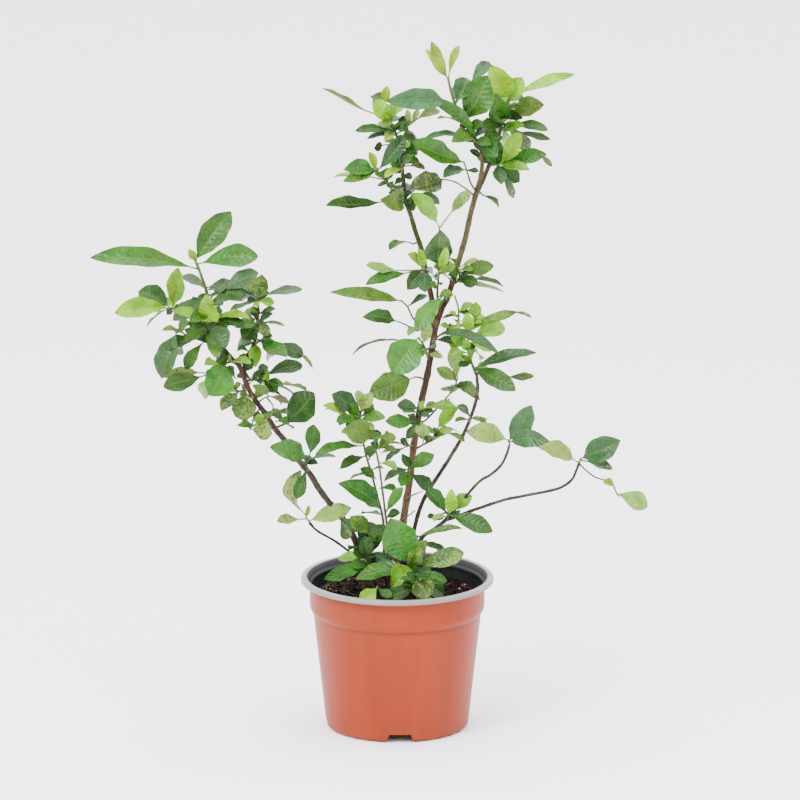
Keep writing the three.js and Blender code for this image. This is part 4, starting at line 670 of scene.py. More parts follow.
# Leafy shoots
# Green shoots with opposite and whorled leaves. A gardenia leaf is elliptic and glossy, with a short stalk,
# a pale midrib, about eight arched veins a side and a quilted surface between them. Its underside is paler
# and dull. New leaves are yellow green, old ones dark, and many are speckled or blotched with cream.
petiole_radius = 0.9
foot_pinch = 0.35
foot_end = 0.3
tip_pinch = 0.4
tip_start = 0.82
side_roundness = 0.65
leaf_row_gap = 2.4
leaf_column_gap = 1.6
facing_spread = 16
fold_angle = 0.32
twist_angle = 0.9
curl_share = 0.09
sway_share = 0.11
wave_share = 0.05
edge_wave = 0.035
blade_middle = 0.26
blade_edge = 0.12
rib_height = 0.75
rib_spread = 0.09
foot_reach = 12
shoot_ring = 1.5
shoot_sides = 10
golden_turn = 137.5
fullness_salt = 337488
tones = {
    "dark": (0.0110, 0.044, 0.0038),
    "teal": (0.0190, 0.056, 0.0145),
    # Painted sheen: the next two tones are teal lightened to stand in for the whitish sheen these leaves
    # reflect.
    "silver": (0.0185, 0.061, 0.0170),
    "glaze": (0.0260, 0.085, 0.0240),
    "grey": (0.0420, 0.078, 0.036),
    "mid": (0.0170, 0.078, 0.0055),
    "bright": (0.0155, 0.088, 0.0040),
    # Painted sheen: the glossy tone is green lightened to stand in for the light reflected by the brightest
    # glossy leaves.
    "glossy": (0.0300, 0.115, 0.0120),
    "olive": (0.0430, 0.098, 0.0065),
    "light": (0.0780, 0.215, 0.0060),
    "lime": (0.1250, 0.290, 0.0040),
    "young": (0.1350, 0.225, 0.0030),
    "pale": (0.1150, 0.205, 0.030),
    "marbled": (0.0260, 0.074, 0.0095),
    "cream": (0.0450, 0.115, 0.0180),
    "dusky": (0.0240, 0.044, 0.0080),
    "dry": (0.058, 0.058, 0.020),
}
cream_patch = (0.215, 0.30, 0.055, 1)
vein_green = (0.085, 0.17, 0.018, 1)
rib_green = (0.11, 0.19, 0.022, 1)
underside_green = (0.060, 0.105, 0.022, 1)
scorch_brown = (0.035, 0.021, 0.012, 1)
mottles = {
    "marbled": 0.62, "cream": 0.65, "pale": 0.5, "dusky": 0.35, "olive": 0.25, "grey": 0.3, "light": 0.35,
    "dry": 0.4, "mid": 0.12,
}
usual_petiole = 0.1
filler_petiole = 0.12
filler_arch = 0.06


def draw(place, salt):
    """A number from 0 to 1 that depends only on a place and a salt: the fraction of a fast sine."""
    wave = math.sin(place[0] * 12.9898 + place[2] * 78.233 + salt * 37.719) * 43758.5453
    return wave - math.floor(wave)


def leaf_outline(share, fullness):
    """Half the width as a share of its widest: sin(pi s^m)^roundness, pinched a little at the foot and tip.

    Fullness 0 is a leaf widest near its foot, with a drawn-out tip, and 1 one widest near its blunt tip.
    """
    foot = 1 - foot_pinch * np.clip(1 - share / foot_end, 0, 1) ** 2
    tip = 1 - tip_pinch * (1 - fullness) * np.clip((share - tip_start) / (1 - tip_start), 0, 1) ** 2
    middle = np.sin(np.pi * np.clip(share, 0, 1) ** (0.92 + 0.8 * fullness)).clip(0, 1)
    return middle**side_roundness * foot * tip


def leaf_sheet(foot, tip, width, facing, arch, petiole, heading):
    """Points and faces of one leaf, and for each point (across from -1 to 1, along from 0 to 1, underside).

    The spine is foot + t L axis + 4 t (1-t) (arch L face + sway side). A point of the blade lies
    u w cos(usual fold) across from it and w sin(fold) |u|^1.2 + ripple(t, u) above it, with w the half
    width. Upper and lower faces lie half the thickness off that, and the underside has a raised midrib.
    """
    axis = tip - foot
    length = np.linalg.norm(axis)
    axis = axis / length
    turned = math.radians(facing + facing_spread * (draw(tip, 1) - 0.5))
    round_z = math.radians(heading)
    level = math.sin(turned)
    face = np.array([level * math.sin(round_z), -level * math.cos(round_z), math.cos(turned)])
    face -= axis * face.dot(axis)
    face /= np.linalg.norm(face)
    side = np.cross(axis, face)
    phase = draw(tip, 2)
    leaf_rows = int(np.clip(length / leaf_row_gap, 9, 26))
    leaf_columns = int(np.clip(width / leaf_column_gap, 3, 6)) * 2
    stalk_shares = np.linspace(0, petiole, 4, endpoint=False)
    stations = np.sin(0.5 * np.pi * np.linspace(0, 1, leaf_rows))
    t = np.concatenate([stalk_shares, petiole + (1 - petiole) * stations])
    blade = np.clip((t - petiole) / (1 - petiole), 0, 1)
    half = 0.5 * width * leaf_outline(blade, draw(tip, fullness_salt))
    half *= 1 + edge_wave * np.sin(2 * np.pi * (3.1 * blade + phase))
    stalk = petiole_radius * (1 - 0.3 * np.clip(t / petiole, 0, 1))
    half = np.where(blade < 0.5, np.sqrt(half**2 + stalk**2), half) + 0.04
    curl = (draw(tip, 3) - 0.15) * curl_share * length * np.clip((blade - 0.5) / 0.5, 0, 1) ** 2
    sway = sway_share * (draw(tip, 16) - 0.5) * length
    spine = foot + np.outer(t * length, axis) + np.outer(sway * 4 * t * (1 - t), side)
    spine += np.outer(arch * length * 4 * t * (1 - t) - curl, face)
    turn = twist_angle * (draw(tip, 4) - 0.5) * blade
    fold = fold_angle * (0.5 + 1.3 * draw(tip, 12))
    u = np.sin(np.linspace(-0.5 * np.pi, 0.5 * np.pi, leaf_columns + 1))
    opened = np.clip(blade / 0.15, 0, 1)
    ripple = np.sin(2 * np.pi * (2.3 * blade[:, None] + phase + 0.27 * np.sign(u))) * u**2
    ripple *= wave_share * width
    rise = half[:, None] * math.sin(fold) * np.abs(u) ** 1.2 + ripple * (1 - blade[:, None] ** 4)
    rise = rise * opened[:, None]
    out = half[:, None] * math.cos(fold_angle) * u
    sideways = out * np.cos(turn)[:, None] - rise * np.sin(turn)[:, None]
    upward = rise * np.cos(turn)[:, None] + out * np.sin(turn)[:, None]
    blade_half = blade_middle - (blade_middle - blade_edge) * np.abs(u)[None, :] ** 4
    stalk_half = stalk[:, None] * np.sqrt(np.clip(1 - u**2, 0, 1)) + 0.05
    thick = stalk_half * (1 - opened[:, None]) + blade_half * opened[:, None]
    midrib = rib_height * np.exp(-((u / rib_spread) ** 2)) * ((1 - blade) * opened)[:, None]
    middle = spine[:, None, :] + sideways[..., None] * side + upward[..., None] * face
    upper = middle + thick[..., None] * face
    lower = middle - (thick + midrib)[..., None] * face
    points = np.concatenate([upper.reshape(-1, 3), lower.reshape(-1, 3)])
    rows, columns = len(t), leaf_columns + 1
    grid = np.arange(rows * columns).reshape(rows, columns)
    below = rows * columns
    quads = np.stack([grid[:-1, :-1], grid[:-1, 1:], grid[1:, 1:], grid[1:, :-1]], axis=-1).reshape(-1, 4)
    faces = quads.tolist() + (quads[:, ::-1] + below).tolist()
    for edge in (grid[:, 0], grid[::-1, -1], grid[0, ::-1], grid[-1]):
        faces += np.stack([edge[:-1], edge[1:], edge[1:] + below, edge[:-1] + below], axis=-1).tolist()
    marks = np.stack(np.broadcast_arrays(u, blade[:, None], 0.0), axis=-1).reshape(-1, 3)
    return points, faces, np.concatenate([marks, marks + (0, 0, 1)])


# For each shoot its stems as above, then its leaves: foot, tip, width, facing in degrees, arch, tone, and
# where they aren't the usual ones the stalk's share of the length and the heading in degrees.
shoots = {
    "left_top_shoot": ([
        ([(-187, 397, 2), (-188, 427, 2), (-194, 447, 1), (-200, 463, 0)], (1.9, 1.5)),
    ], [
        ((-199, 452, 0), (-302, 466, -16), 23, 42, 0.15, "mid", 0.12),
        ((-199, 463, 1), (-165, 511, 8), 28, 68, 0.06, "mid", 0.06),
        ((-196, 458, 0), (-138, 467, -14), 25, 58, 0.02, "mid", 0.08),
        ((-202, 461, 0), (-206, 473, -1), 9, 80, 0.05, "young"),
        ((-191, 434, 2), (-213, 448, 12), 12, 30, 0.05, "grey"),
        ((-190, 424, 2), (-222, 403, -10), 20, 58, 0.08, "teal"),
        ((-190, 432, 2), (-172, 428, 24), 15, 40, 0.05, "dark"),
        ((-188, 420, 2), (-206, 414, 34), 17, -20, 0.1, "dark"),
        ((-189, 436, 2), (-158, 437, 22), 15, 30, 0.05, "teal"),
    ]),
    "left_outer_shoot": ([
        ([(-179, 386, 1), (-190, 396, 10), (-206, 407, 12), (-226, 416, 12)], (1.5, 1.1)),
    ], [
        ((-225, 416, 12), (-279, 412, 0), 22, 52, 0.06, "lime", 0.08),
        ((-223, 416, 12), (-217, 454, 14), 20, 74, 0.08, "lime"),
        ((-224, 417, 12), (-257, 433, 24), 24, 50, 0.08, "dark"),
        ((-226, 415, 12), (-249, 397, 16), 10, 10, 0.05, "young"),
        ((-206, 407, 8), (-214, 420, 30), 16, 30, 0.06, "dark"),
        ((-212, 410, 10), (-196, 402, 44), 16, -20, 0.1, "teal"),
        ((-200, 403, 11), (-203, 427, 2), 16, 60, 0.08, "dark"),
    ]),
    "left_centre_shoot": ([
        ([(-184, 392, 1), (-187, 398, -10), (-186, 412, -16), (-183, 430, -14)], (1.5, 1.1)),
    ], [
        ((-188, 400, -12), (-188, 428, -24), 22, 70, 0.1, "lime", 0.06),
        ((-186, 402, -13), (-145, 405, -26), 13, 22, 0.1, "lime"),
        ((-183, 429, -14), (-138, 451, -20), 22, 36, 0.04, "teal", 0.2),
        ((-187, 399, -11), (-169, 377, -26), 25, 66, 0.08, "teal", 0.1),
        ((-188, 398, -11), (-210, 382, -28), 16, 55, 0.08, "dark"),
        ((-184, 418, -15), (-164, 424, -34), 13, 50, 0.1, "dark"),
        ((-186, 408, -15), (-206, 401, -34), 14, 50, 0.06, "mid"),
        ((-187, 402, -11), (-222, 412, -22), 15, 48, 0.06, "light"),
        ((-185, 405, -13), (-150, 397, -28), 15, 40, 0.04, "dark"),
        ((-185, 397, -8), (-178, 365, -24), 17, 70, 0.06, "olive"),
        ((-183, 428, -14), (-149, 428, -24), 18, 55, 0.05, "dark", 0.2),
    ]),
    "left_fork_head": ([
        ([(-138, 417, 12), (-139, 424, 12), (-140, 430, 12)], (1.4, 1.1)),
    ], [
        ((-140, 427, 12), (-134, 448, 8), 21, 72, 0.06, "marbled", 0.06),
        ((-138, 426, 12), (-94, 434, 4), 12, 20, 0, "grey", 0.2),
        ((-138, 423, 12), (-122, 420, 4), 10, 45, 0.05, "light"),
        ((-141, 425, 12), (-179, 427, 30), 15, 12, 0.13, "grey"),
        ((-141, 422, 12), (-165, 414, 2), 12, 8, 0.03, "dark"),
        ((-140, 428, 12), (-152, 441, 26), 15, 40, 0.06, "mid"),
        ((-138, 424, 12), (-154, 424, 34), 16, 30, 0.05, "dark"),
        ((-138, 421, 12), (-146, 407, 34), 15, 60, 0.05, "teal"),
    ]),
    "left_fork_shoot": ([
        ([(-139, 400, 10), (-138, 402, 2), (-138, 400, -4)], (1.3, 1.1)),
    ], [
        ((-138, 401, -2), (-111, 398, -12), 7, 20, 0.04, "dry"),
        ((-138, 401, -3), (-124, 410, -12), 9, 45, 0.03, "dark"),
        ((-138, 400, -4), (-127, 388, -12), 12, 68, 0.06, "marbled"),
        ((-139, 400, -4), (-152, 384, -14), 19, 68, 0.08, "dark"),
        ((-139, 401, -3), (-160, 396, -12), 13, 60, 0.08, "mid"),
    ]),
    "left_right_shoot": ([
        ([(-143, 378, 7), (-136, 383, 2), (-130, 386, 0)], (1.4, 1.1)),
    ], [
        ((-131, 386, 0), (-92, 369, -6), 17, 48, 0.02, "teal", 0.25),
        ((-137, 382, 2), (-110, 368, -20), 20, 58, 0.05, "mid"),
        ((-140, 380, 4), (-141, 357, -8), 14, 74, 0.08, "lime"),
        ((-138, 381, 3), (-160, 374, 22), 16, 60, 0.05, "mid"),
        ((-133, 384, 1), (-126, 366, 22), 15, 60, 0.05, "dark"),
        ((-98, 372, -5), (-83, 355, -8), 7, 30, 0.04, "dry"),
    ]),
    "left_elbow_shoot": ([
        ([(-150, 343, 0), (-140, 345, 4), (-132, 343, 6), (-126, 340, 6)], (1.4, 1)),
    ], [
        ((-137, 345, 5), (-94, 359, 14), 16, 52, 0.02, "dark", 0.2),
        ((-130, 343, 6), (-127, 353, 0), 9, 50, 0.05, "lime"),
        ((-134, 344, 6), (-119, 332, 0), 15, 52, 0.06, "dark"),
        ((-126, 340, 6), (-90, 333, 14), 13, 12, 0.06, "light", 0.25),
        ((-127, 340, 6), (-100, 328, 16), 10, 15, 0.04, "dark"),
        ((-138, 345, 5), (-150, 336, 30), 14, 50, 0.05, "olive"),
        ((-141, 345, 3), (-128, 332, 30), 15, 60, 0.05, "teal"),
    ]),
    "left_dark_leaf_shoot": ([
        ([(-122, 296, 4), (-115, 299, 6), (-110, 301, 6)], (1.3, 1.1)),
    ], [
        ((-112, 301, 6), (-83, 331, -2), 33, 68, 0.05, "dark", 0.06),
        ((-112, 300, 6), (-124, 316, 20), 10, 55, 0.06, "olive"),
        ((-112, 300, 6), (-104, 295, 16), 6, 20, 0.03, "dark"),
    ]),
    "left_inner_twig": ([
        ([(-139, 321, 2), (-132, 326, -6), (-127, 328, -9)], (1, 0.8)),
        ([(-130, 327, -7), (-123, 317, -10), (-126, 306, -12)], (0.9, 0.7)),
    ], [
        ((-127, 328, -9), (-107, 321, -14), 9, 30, 0.05, "dry"),
        ((-128, 328, -8), (-141, 338, -22), 10, 65, 0.08, "olive"),
    ]),
    "left_low_twigs": ([
        ([(-175, 379, 0), (-190, 382, -8), (-206, 387, -12), (-225, 398, -12)], (1.2, 0.8)),
    ], [
        ((-216, 392, -12), (-233, 393, -8), 9, 35, 0.03, "olive"),
        ((-200, 385, -10), (-232, 376, -20), 15, 40, 0.05, "dark"),
        ((-217, 394, -12), (-233, 345, -22), 24, 60, 0.12, "teal", 0.1),
        ((-192, 383, -8), (-210, 355, -16), 14, 58, 0.08, "mid"),
        ((-205, 387, -11), (-214, 371, 12), 15, 50, 0.05, "dark"),
    ]),
    "left_round_leaves": ([
        ([(-160, 362, -2), (-168, 361, -12), (-176, 355, -16), (-184, 350, -14)], (1.4, 1)),
    ], [
        ((-170, 361, -13), (-186, 329, -26), 34, 78, 0.06, "bright", 0.04),
        ((-184, 350, -14), (-232, 348, -18), 12, 50, 0.04, "marbled", 0.28),
        ((-178, 354, -16), (-195, 327, -2), 17, 62, 0.05, "light", 0.15),
        ((-176, 356, -16), (-160, 346, -2), 14, 60, 0.05, "dark"),
        ((-184, 350, -14), (-231, 338, -30), 20, 56, 0.04, "dark", 0.25),
    ]),
    "left_spotted_leaves": ([
        ([(-147, 334, 0), (-156, 333, 6), (-172, 333, 8)], (1, 0.8)),
    ], [
        ((-170, 333, 8), (-178, 342, 14), 9, 60, 0.06, "dark"),
        ((-156, 333, 6), (-174, 313, -4), 16, 60, 0.06, "marbled"),
        ((-166, 333, 8), (-184, 334, 30), 14, 40, 0.05, "dark"),
        ((-153, 333, 5), (-152, 303, -2), 26, 66, 0.06, "marbled", 0.15),
    ]),
    "left_marbled_twig": ([
        ([(-136, 316, 2), (-142, 308, -4), (-144, 301, -6), (-146, 294, -6)], (1, 0.8)),
    ], [
        ((-146, 296, -6), (-124, 291, -12), 19, 60, 0.05, "marbled"),
        ((-143, 303, -5), (-132, 308, -14), 9, 60, 0.06, "light"),
        ((-146, 296, -6), (-160, 299, 8), 10, 30, 0.03, "olive"),
    ]),
    "left_mid_shoot": ([
        ([(-88, 251, 9), (-90, 258, 2), (-89, 266, 0)], (1.3, 1.1)),
    ], [
        ((-90, 264, 0), (-124, 278, -10), 22, 66, 0.1, "glossy", 0.06),
        ((-89, 265, 0), (-83, 300, -4), 17, 74, 0.06, "mid", 0.2),
        ((-89, 264, 0), (-61, 268, -6), 12, 24, 0.03, "grey"),
        ((-89, 262, 0), (-104, 271, 24), 14, 30, 0.05, "dark"),
        ((-93, 262, 6), (-101, 226, -2), 14, 66, 0.08, "dark"),
    ]),
    "left_foot_shoot": ([
        ([(-56, 208, 13), (-56, 207, 6), (-57, 206, 4)], (1.3, 1.1)),
    ], [
        ((-57, 206, 4), (-49, 185, 2), 13, 78, 0.08, "grey"),
        ((-55, 208, 6), (-38, 193, -4), 14, 58, 0.08, "teal"),
    ]),
    "low_left_leaves": ([
        ([(-84, 198, 21), (-90, 206, 19), (-92, 211, 18)], (1.1, 0.8)),
    ], [
        ((-91, 209, 18), (-97, 254, 16), 25, 86, 0.2, "marbled", 0.06, -60),
        ((-90, 207, 19), (-88, 219, 14), 5, 80, 0.06, "young"),
        ((-88, 204, 20), (-46, 217, 8), 19, 62, 0.1, "pale", 0.08),
        ((-90, 206, 19), (-120, 203, 26), 14, 52, -0.02, "pale", 0.3),
    ]),
    "middle_stem_left": ([
        ([(-10, 127, -12), (-13, 165, -12), (-14, 204, -12), (-20, 229, -12), (-25, 249, -12),
          (-31, 269, -12), (-34, 284, -12), (-37, 298, -12), (-36, 313, -12)], (1.8, 1.1), "rooted"),
    ], [
        ((-14, 212, -12), (-57, 241, -18), 24, 62, 0.14, "mid", 0.1),
        ((-14, 209, -12), (-36, 211, 6), 13, 10, 0.04, "dark"),
        ((-25, 250, -12), (-47, 246, -20), 10, 6, 0.07, "olive"),
        ((-31, 269, -12), (-57, 257, -20), 13, 24, 0.04, "dark"),
        ((-33, 278, -12), (-81, 272, -22), 16, 26, 0.05, "mid", 0.08),
        ((-36, 300, -12), (-73, 319, -16), 13, 26, 0.03, "young", 0.3),
        ((-37, 304, -12), (-13, 308, -24), 14, 40, 0.08, "bright"),
        ((-36, 312, -12), (-65, 330, -10), 21, 58, 0.06, "teal", 0.16),
        ((-37, 308, -12), (-72, 317, 4), 14, 16, 0.03, "dark"),
        ((-36, 313, -12), (-25, 332, -16), 14, 60, 0.06, "pale"),
        ((-36, 313, -12), (-39, 334, -4), 10, 60, 0.06, "pale"),
        ((-36, 310, -12), (-50, 318, 8), 15, 40, 0.05, "dark"),
        ((-37, 300, -12), (-58, 300, 26), 18, -15, 0.1, "dark"),
        ((-37, 300, -12), (-48, 296, 4), 15, 50, 0.05, "teal"),
        ((-36, 305, -12), (-60, 302, -26), 16, 48, 0.05, "bright"),
    ]),
    "middle_stem_right": ([
        ([(-1, 128, -8), (-6, 165, -22), (-11, 204, -24), (-14, 229, -24), (-18, 259, -26),
          (-22, 279, -28), (-23, 289, -28)], (1.7, 1.1), "rooted"),
    ], [
        ((-18, 262, -26), (1, 256, -20), 10, 38, 0.04, "pale"),
        ((-20, 275, -28), (-8, 281, -22), 9, 40, 0.03, "olive"),
        ((-22, 289, -28), (-52, 296, -34), 27, 60, 0.06, "olive", 0.1),
        ((-23, 286, -28), (-56, 292, -20), 15, -46, 0.06, "lime"),
        ((-12, 211, -24), (6, 237, -24), 13, 56, 0.08, "mid"),
        ((-11, 206, -24), (3, 212, -30), 11, 50, 0.1, "dark"),
        ((-22, 280, -28), (-8, 291, -46), 13, 20, 0.05, "mid"),
    ]),
    "low_trunk_leaves": ([
        ([(12.5, 248, 6), (12, 252, -3), (12, 256, -6)], (1.4, 1.1)),
    ], [
        ((11, 254, -5), (4, 238, -10), 14, 78, 0.06, "bright"),
        ((12, 255, -6), (-13, 244, -14), 13, 40, 0.07, "dark"),
        ((13, 254, -5), (36, 270, -6), 16, 58, 0.06, "mid"),
        ((13, 250, -3), (35, 236, 4), 15, 56, 0.02, "dark"),
        ((12, 256, -6), (5, 271, -12), 10, 74, 0.06, "dark"),
    ]),
    "trunk_left_sprig": ([
        ([(16.5, 278, 4), (14, 279, -2), (12, 279, -4)], (1.2, 1)),
    ], [
        ((12, 279, -4), (-18, 278, -14), 12, 6, 0.08, "olive", 0.25),
        ((13, 278, -3), (-12, 263, -8), 12, 8, 0.05, "dark", 0.2),
        ((13, 279, -4), (3, 285, -8), 9, 60, 0.05, "dark"),
    ]),
    "trunk_right_branch": ([
        ([(16, 274, 4), (27, 280, 6), (37, 285, 6), (50, 292, 4)], (1.2, 0.9)),
        ([(33, 283, 6), (38, 290, 4), (41, 297, 2)], (0.9, 0.8)),
    ], [
        ((26, 279, 6), (24, 302, -8), 16, 74, 0.04, "pale", 0.42),
        ((41, 296, 2), (61, 317, -4), 15, 60, 0.06, "lime", 0.06),
        ((48, 291, 4), (67, 283, -4), 9, 22, 0.05, "olive"),
        ((38, 286, 6), (62, 294, 22), 13, -10, 0.1, "mid"),
    ]),
    "trunk_node_leaves": ([
        ([(21.5, 308, 2), (22, 312, -5), (22, 315, -8)], (1.3, 1)),
    ], [
        ((21, 315, -8), (0, 319, -12), 15, 52, 0.06, "teal"),
        ((23, 315, -8), (60, 315, -14), 14, 34, 0.06, "light", 0.3),
        ((22, 313, -6), (12, 321, -10), 5, 20, 0.03, "dark"),
    ]),
    "trunk_low_node_leaves": ([
        ([(19, 293, 3), (18, 298, -5), (17, 302, -8)], (1.3, 1)),
    ], [
        ((17, 302, -8), (-12, 303, -14), 16, 52, 0.06, "mid"),
        ((17, 301, -7), (9, 286, -14), 10, 72, 0.06, "dark"),
    ]),
    "trunk_twig_leaves": ([
        ([(21, 303, 2), (27, 303, 6), (39, 315, 8), (47, 324, 8), (56, 335, 6), (60, 345, 4)],
          (1.1, 0.8)),
    ], [
        ((59, 342, 4), (39, 356, 0), 13, 60, 0.06, "pale"),
        ((60, 344, 4), (47, 358, 14), 6, 40, 0.03, "dark"),
        ((58, 340, 5), (79, 334, 12), 13, 52, 0.06, "olive"),
        ((60, 345, 4), (55, 378, -8), 18, 70, 0.05, "pale", 0.12),
        ((57, 337, 6), (46, 333, 12), 6, 30, 0.03, "dark"),
        ((57, 338, 5), (82, 325, -4), 10, 20, 0.04, "olive"),
    ]),
    "bright_broad_leaf": ([
        ([(31, 364, 0), (30, 368, -6), (27, 377, -9), (21, 386, -11)], (1.4, 1.1)),
    ], [
        ((21, 387, -11), (-5, 350, -22), 37, 76, 0.08, "glossy", 0.06),
        ((29, 370, -7), (45, 366, -14), 9, 34, 0.04, "pale"),
        ((26, 378, -9), (-45, 372, 4), 12, -14, 0.12, "grey", 0.3),
        ((28, 373, -9), (22, 366, -18), 9, 60, 0.06, "light"),
        ((25, 380, -10), (31, 402, -18), 12, 72, 0.05, "pale"),
    ]),
    "olive_broad_leaf": ([
        ([(28.5, 343, 0), (24, 346, -2), (18, 347, -4)], (1.2, 1)),
    ], [
        ((18, 347, -4), (-28, 330, -14), 31, 72, 0.05, "olive", 0.12),
    ]),
    "long_leaf_twig": ([
        ([(37, 389, 0), (28, 396, 4), (17, 404, 6), (10, 417, 4), (4, 423, 2)], (1.2, 0.9)),
        ([(29, 395, 3), (18, 396, -2), (11, 397, -5)], (1, 0.8)),
    ], [
        ((5, 422, 2), (-64, 434, -8), 15, 44, 0.08, "olive", 0.08),
        ((12, 397, -5), (-33, 408, -12), 17, 36, 0.14, "dark", 0.4),
        ((17, 396, -2), (11, 388, -14), 10, 60, 0.08, "pale"),
        ((10, 417, 4), (30, 429, 12), 10, 40, 0.03, "teal"),
    ]),
    "glossy_front_leaf": ([
        ([(48, 423, 1), (49, 427, -8), (47, 429, -13)], (1.3, 1.1)),
    ], [
        ((47, 428, -12), (19, 392, -25), 20, 62, 0.1, "glossy", 0.08),
        ((48, 426, -9), (33, 410, -17), 7, 30, 0.03, "olive"),
    ]),
    "right_cluster_shoot": ([
        ([(55, 439, 2), (60, 442, 0), (62, 447, -2), (60, 456, -4)], (1.3, 1)),
    ], [
        ((61, 450, -3), (96, 458, -10), 16, 60, 0.05, "olive"),
        ((60, 455, -4), (80, 464, -12), 9, 32, 0.03, "pale"),
        ((61, 443, -1), (80, 441, -14), 14, 55, 0.06, "dark"),
        ((61, 446, -2), (107, 438, 4), 10, 20, 0.03, "dark", 0.3),
        ((60, 442, 0), (109, 434, 14), 12, 26, -0.02, "light"),
        ((60, 456, -4), (50, 466, -14), 10, 20, 0.03, "mid"),
        ((61, 446, -2), (84, 446, 30), 16, 40, 0.05, "dark"),
    ]),
    "right_long_leaves": ([
        ([(35, 380, 0), (39, 386, -10), (48, 392, -11), (59, 398, -8), (61, 414, -6),
          (57, 428, -6)], (1.3, 0.9)),
    ], [
        ((40, 386, -11), (101, 372, -38), 16, 34, 0.2, "teal", 0.06),
        ((38, 384, -7), (57, 382, -18), 11, 26, 0.05, "dark"),
        ((47, 391, -11), (56, 397, -2), 10, 50, 0.06, "mid"),
        ((60, 408, -6), (45, 406, -12), 5, 15, 0.06, "dry"),
        ((60, 411, -6), (72, 411, -10), 7, 50, 0.06, "dark"),
    ]),
    "centre_shoot": ([
        ([(43, 412, 0), (40, 424, -5), (41, 449, -9), (41, 475, -10), (42, 496, -10)], (1.4, 0.9)),
    ], [
        ((42, 495, -10), (14, 528, -14), 19, 66, 0.06, "lime", 0.16),
        ((42, 495, -10), (73, 532, -16), 14, 26, 0.04, "pale", 0.4),
        ((41, 456, -10), (43, 491, -18), 29, 74, 0.06, "teal", 0.06),
        ((41, 451, -10), (48, 475, -24), 10, 66, 0.06, "lime"),
        ((41, 452, -9), (52, 442, 8), 14, 50, 0.05, "mid"),
        ((41, 447, -9), (57, 460, -2), 13, 60, 0.05, "light"),
    ]),
    "crown_stem_low_leaves": ([
        ([(27, 457, 10), (26, 455, 2), (25, 453, -4)], (1.3, 1.1)),
    ], [
        ((25, 454, -3), (10, 434, -8), 17, 65, 0.05, "dark"),
        ((25, 453, -4), (28, 431, -16), 17, 68, 0.06, "teal"),
        ((25, 454, -3), (-31, 439, -8), 15, 38, 0.03, "mid", 0.3),
        ((25, 455, -2), (-31, 458, -2), 13, 50, 0, "pale", 0.5),
        ((25, 454, -3), (11, 469, -12), 12, 50, 0.06, "lime"),
        ((26, 455, -2), (21, 474, -10), 11, 70, 0.06, "lime"),
        ((26, 453, 1), (38, 444, 22), 14, 60, 0.05, "dark"),
    ]),
    "crown_stem_mid_leaves": ([
        ([(21, 482, 14), (18, 480, 8), (16, 479, 6)], (1.2, 1)),
    ], [
        ((16, 479, 6), (-8, 474, -2), 13, -2, 0.12, "mid", 0.2),
    ]),
    "crown_left_whorl": ([
        ([(9, 520, 17), (7, 522, 8), (6, 525, 4)], (1.4, 1.1)),
    ], [
        ((6, 525, 4), (-14, 523, -12), 25, 70, 0.08, "olive", 0.06),
        ((5, 525, 4), (-70, 519, 6), 17, 50, -0.18, "dark", 0.3),
        ((8, 524, 6), (16, 512, -4), 13, 66, 0.08, "dark"),
        ((7, 523, 7), (43, 522, 14), 15, 40, 0.05, "dark", 0.1),
        ((7, 522, 8), (-4, 538, 34), 16, 40, 0.05, "teal"),
        ((8, 522, 9), (22, 534, 36), 17, 40, 0.05, "dark"),
    ]),
    "crown_back_leaf": ([
        ([(77, 527, 5), (68, 534, -2), (56, 541, -8), (44, 543, -12)], (1.1, 0.8)),
    ], [
        ((46, 543, -12), (13, 534, -16), 25, 60, 0.08, "dusky", 0.06),
    ]),
    "crown_left_twig": ([
        ([(7, 535, 18), (-3, 536, 12), (-12, 542, 8), (-21, 552, 6)], (1.2, 0.9)),
    ], [
        ((-20, 551, 6), (8, 585, 0), 18, 64, 0.06, "teal", 0.08),
        ((-21, 551, 6), (-52, 553, 0), 18, 56, 0.06, "mid"),
        ((-21, 550, 6), (-53, 542, -4), 13, 40, 0.04, "olive"),
        ((-21, 552, 6), (-28, 570, 4), 9, 72, 0.05, "lime"),
        ((-14, 543, 8), (-63, 546, 18), 12, 8, 0.03, "pale", 0.3),
        ((-9, 539, 9), (-8, 552, 30), 14, 40, 0.05, "dark"),
        ((-17, 546, 7), (-34, 550, 28), 14, 40, 0.05, "teal"),
    ]),
    "crown_left_sprig": ([
        ([(5, 549, 18), (5, 553, 10), (6, 556, 6)], (1.1, 0.9)),
    ], [
        ((5, 554, 8), (-12, 546, -4), 10, 26, 0.03, "young"),
        ((6, 556, 6), (28, 554, 0), 9, 20, 0.05, "dry", 0.3),
        ((5, 555, 7), (14, 566, -4), 10, 60, 0.06, "mid"),
    ]),
    "crown_left_head": ([
        ([(4, 560, 18), (2, 577, 18), (-2, 590, 16), (-8, 602, 14), (-12, 618, 12)], (1.7, 1)),
        ([(-1, 588, 16), (6, 592, 12), (14, 598, 8)], (0.9, 0.7)),
    ], [
        ((-9, 604, 14), (-72, 635, 4), 13, 24, -0.08, "olive", 0.3),
        ((-12, 617, 12), (-10, 635, 10), 10, 78, 0.05, "young"),
        ((-6, 598, 14), (-24, 622, 2), 18, 68, 0.06, "lime"),
        ((-8, 602, 14), (-5, 618, 2), 12, 70, 0.05, "light"),
        ((-11, 613, 12), (-24, 627, 26), 14, 40, 0.04, "dark"),
        ((13, 597, 8), (10, 612, 4), 7, 76, 0.05, "pale"),
        ((14, 598, 8), (21, 613, 8), 7, 76, 0.05, "pale"),
        ((14, 598, 8), (42, 612, 14), 12, 50, 0.08, "olive", 0.2),
        ((3, 591, 13), (14, 600, 0), 7, 40, 0.03, "dark"),
        ((-2, 590, 16), (-41, 592, 6), 12, 30, 0.06, "dark", 0.12),
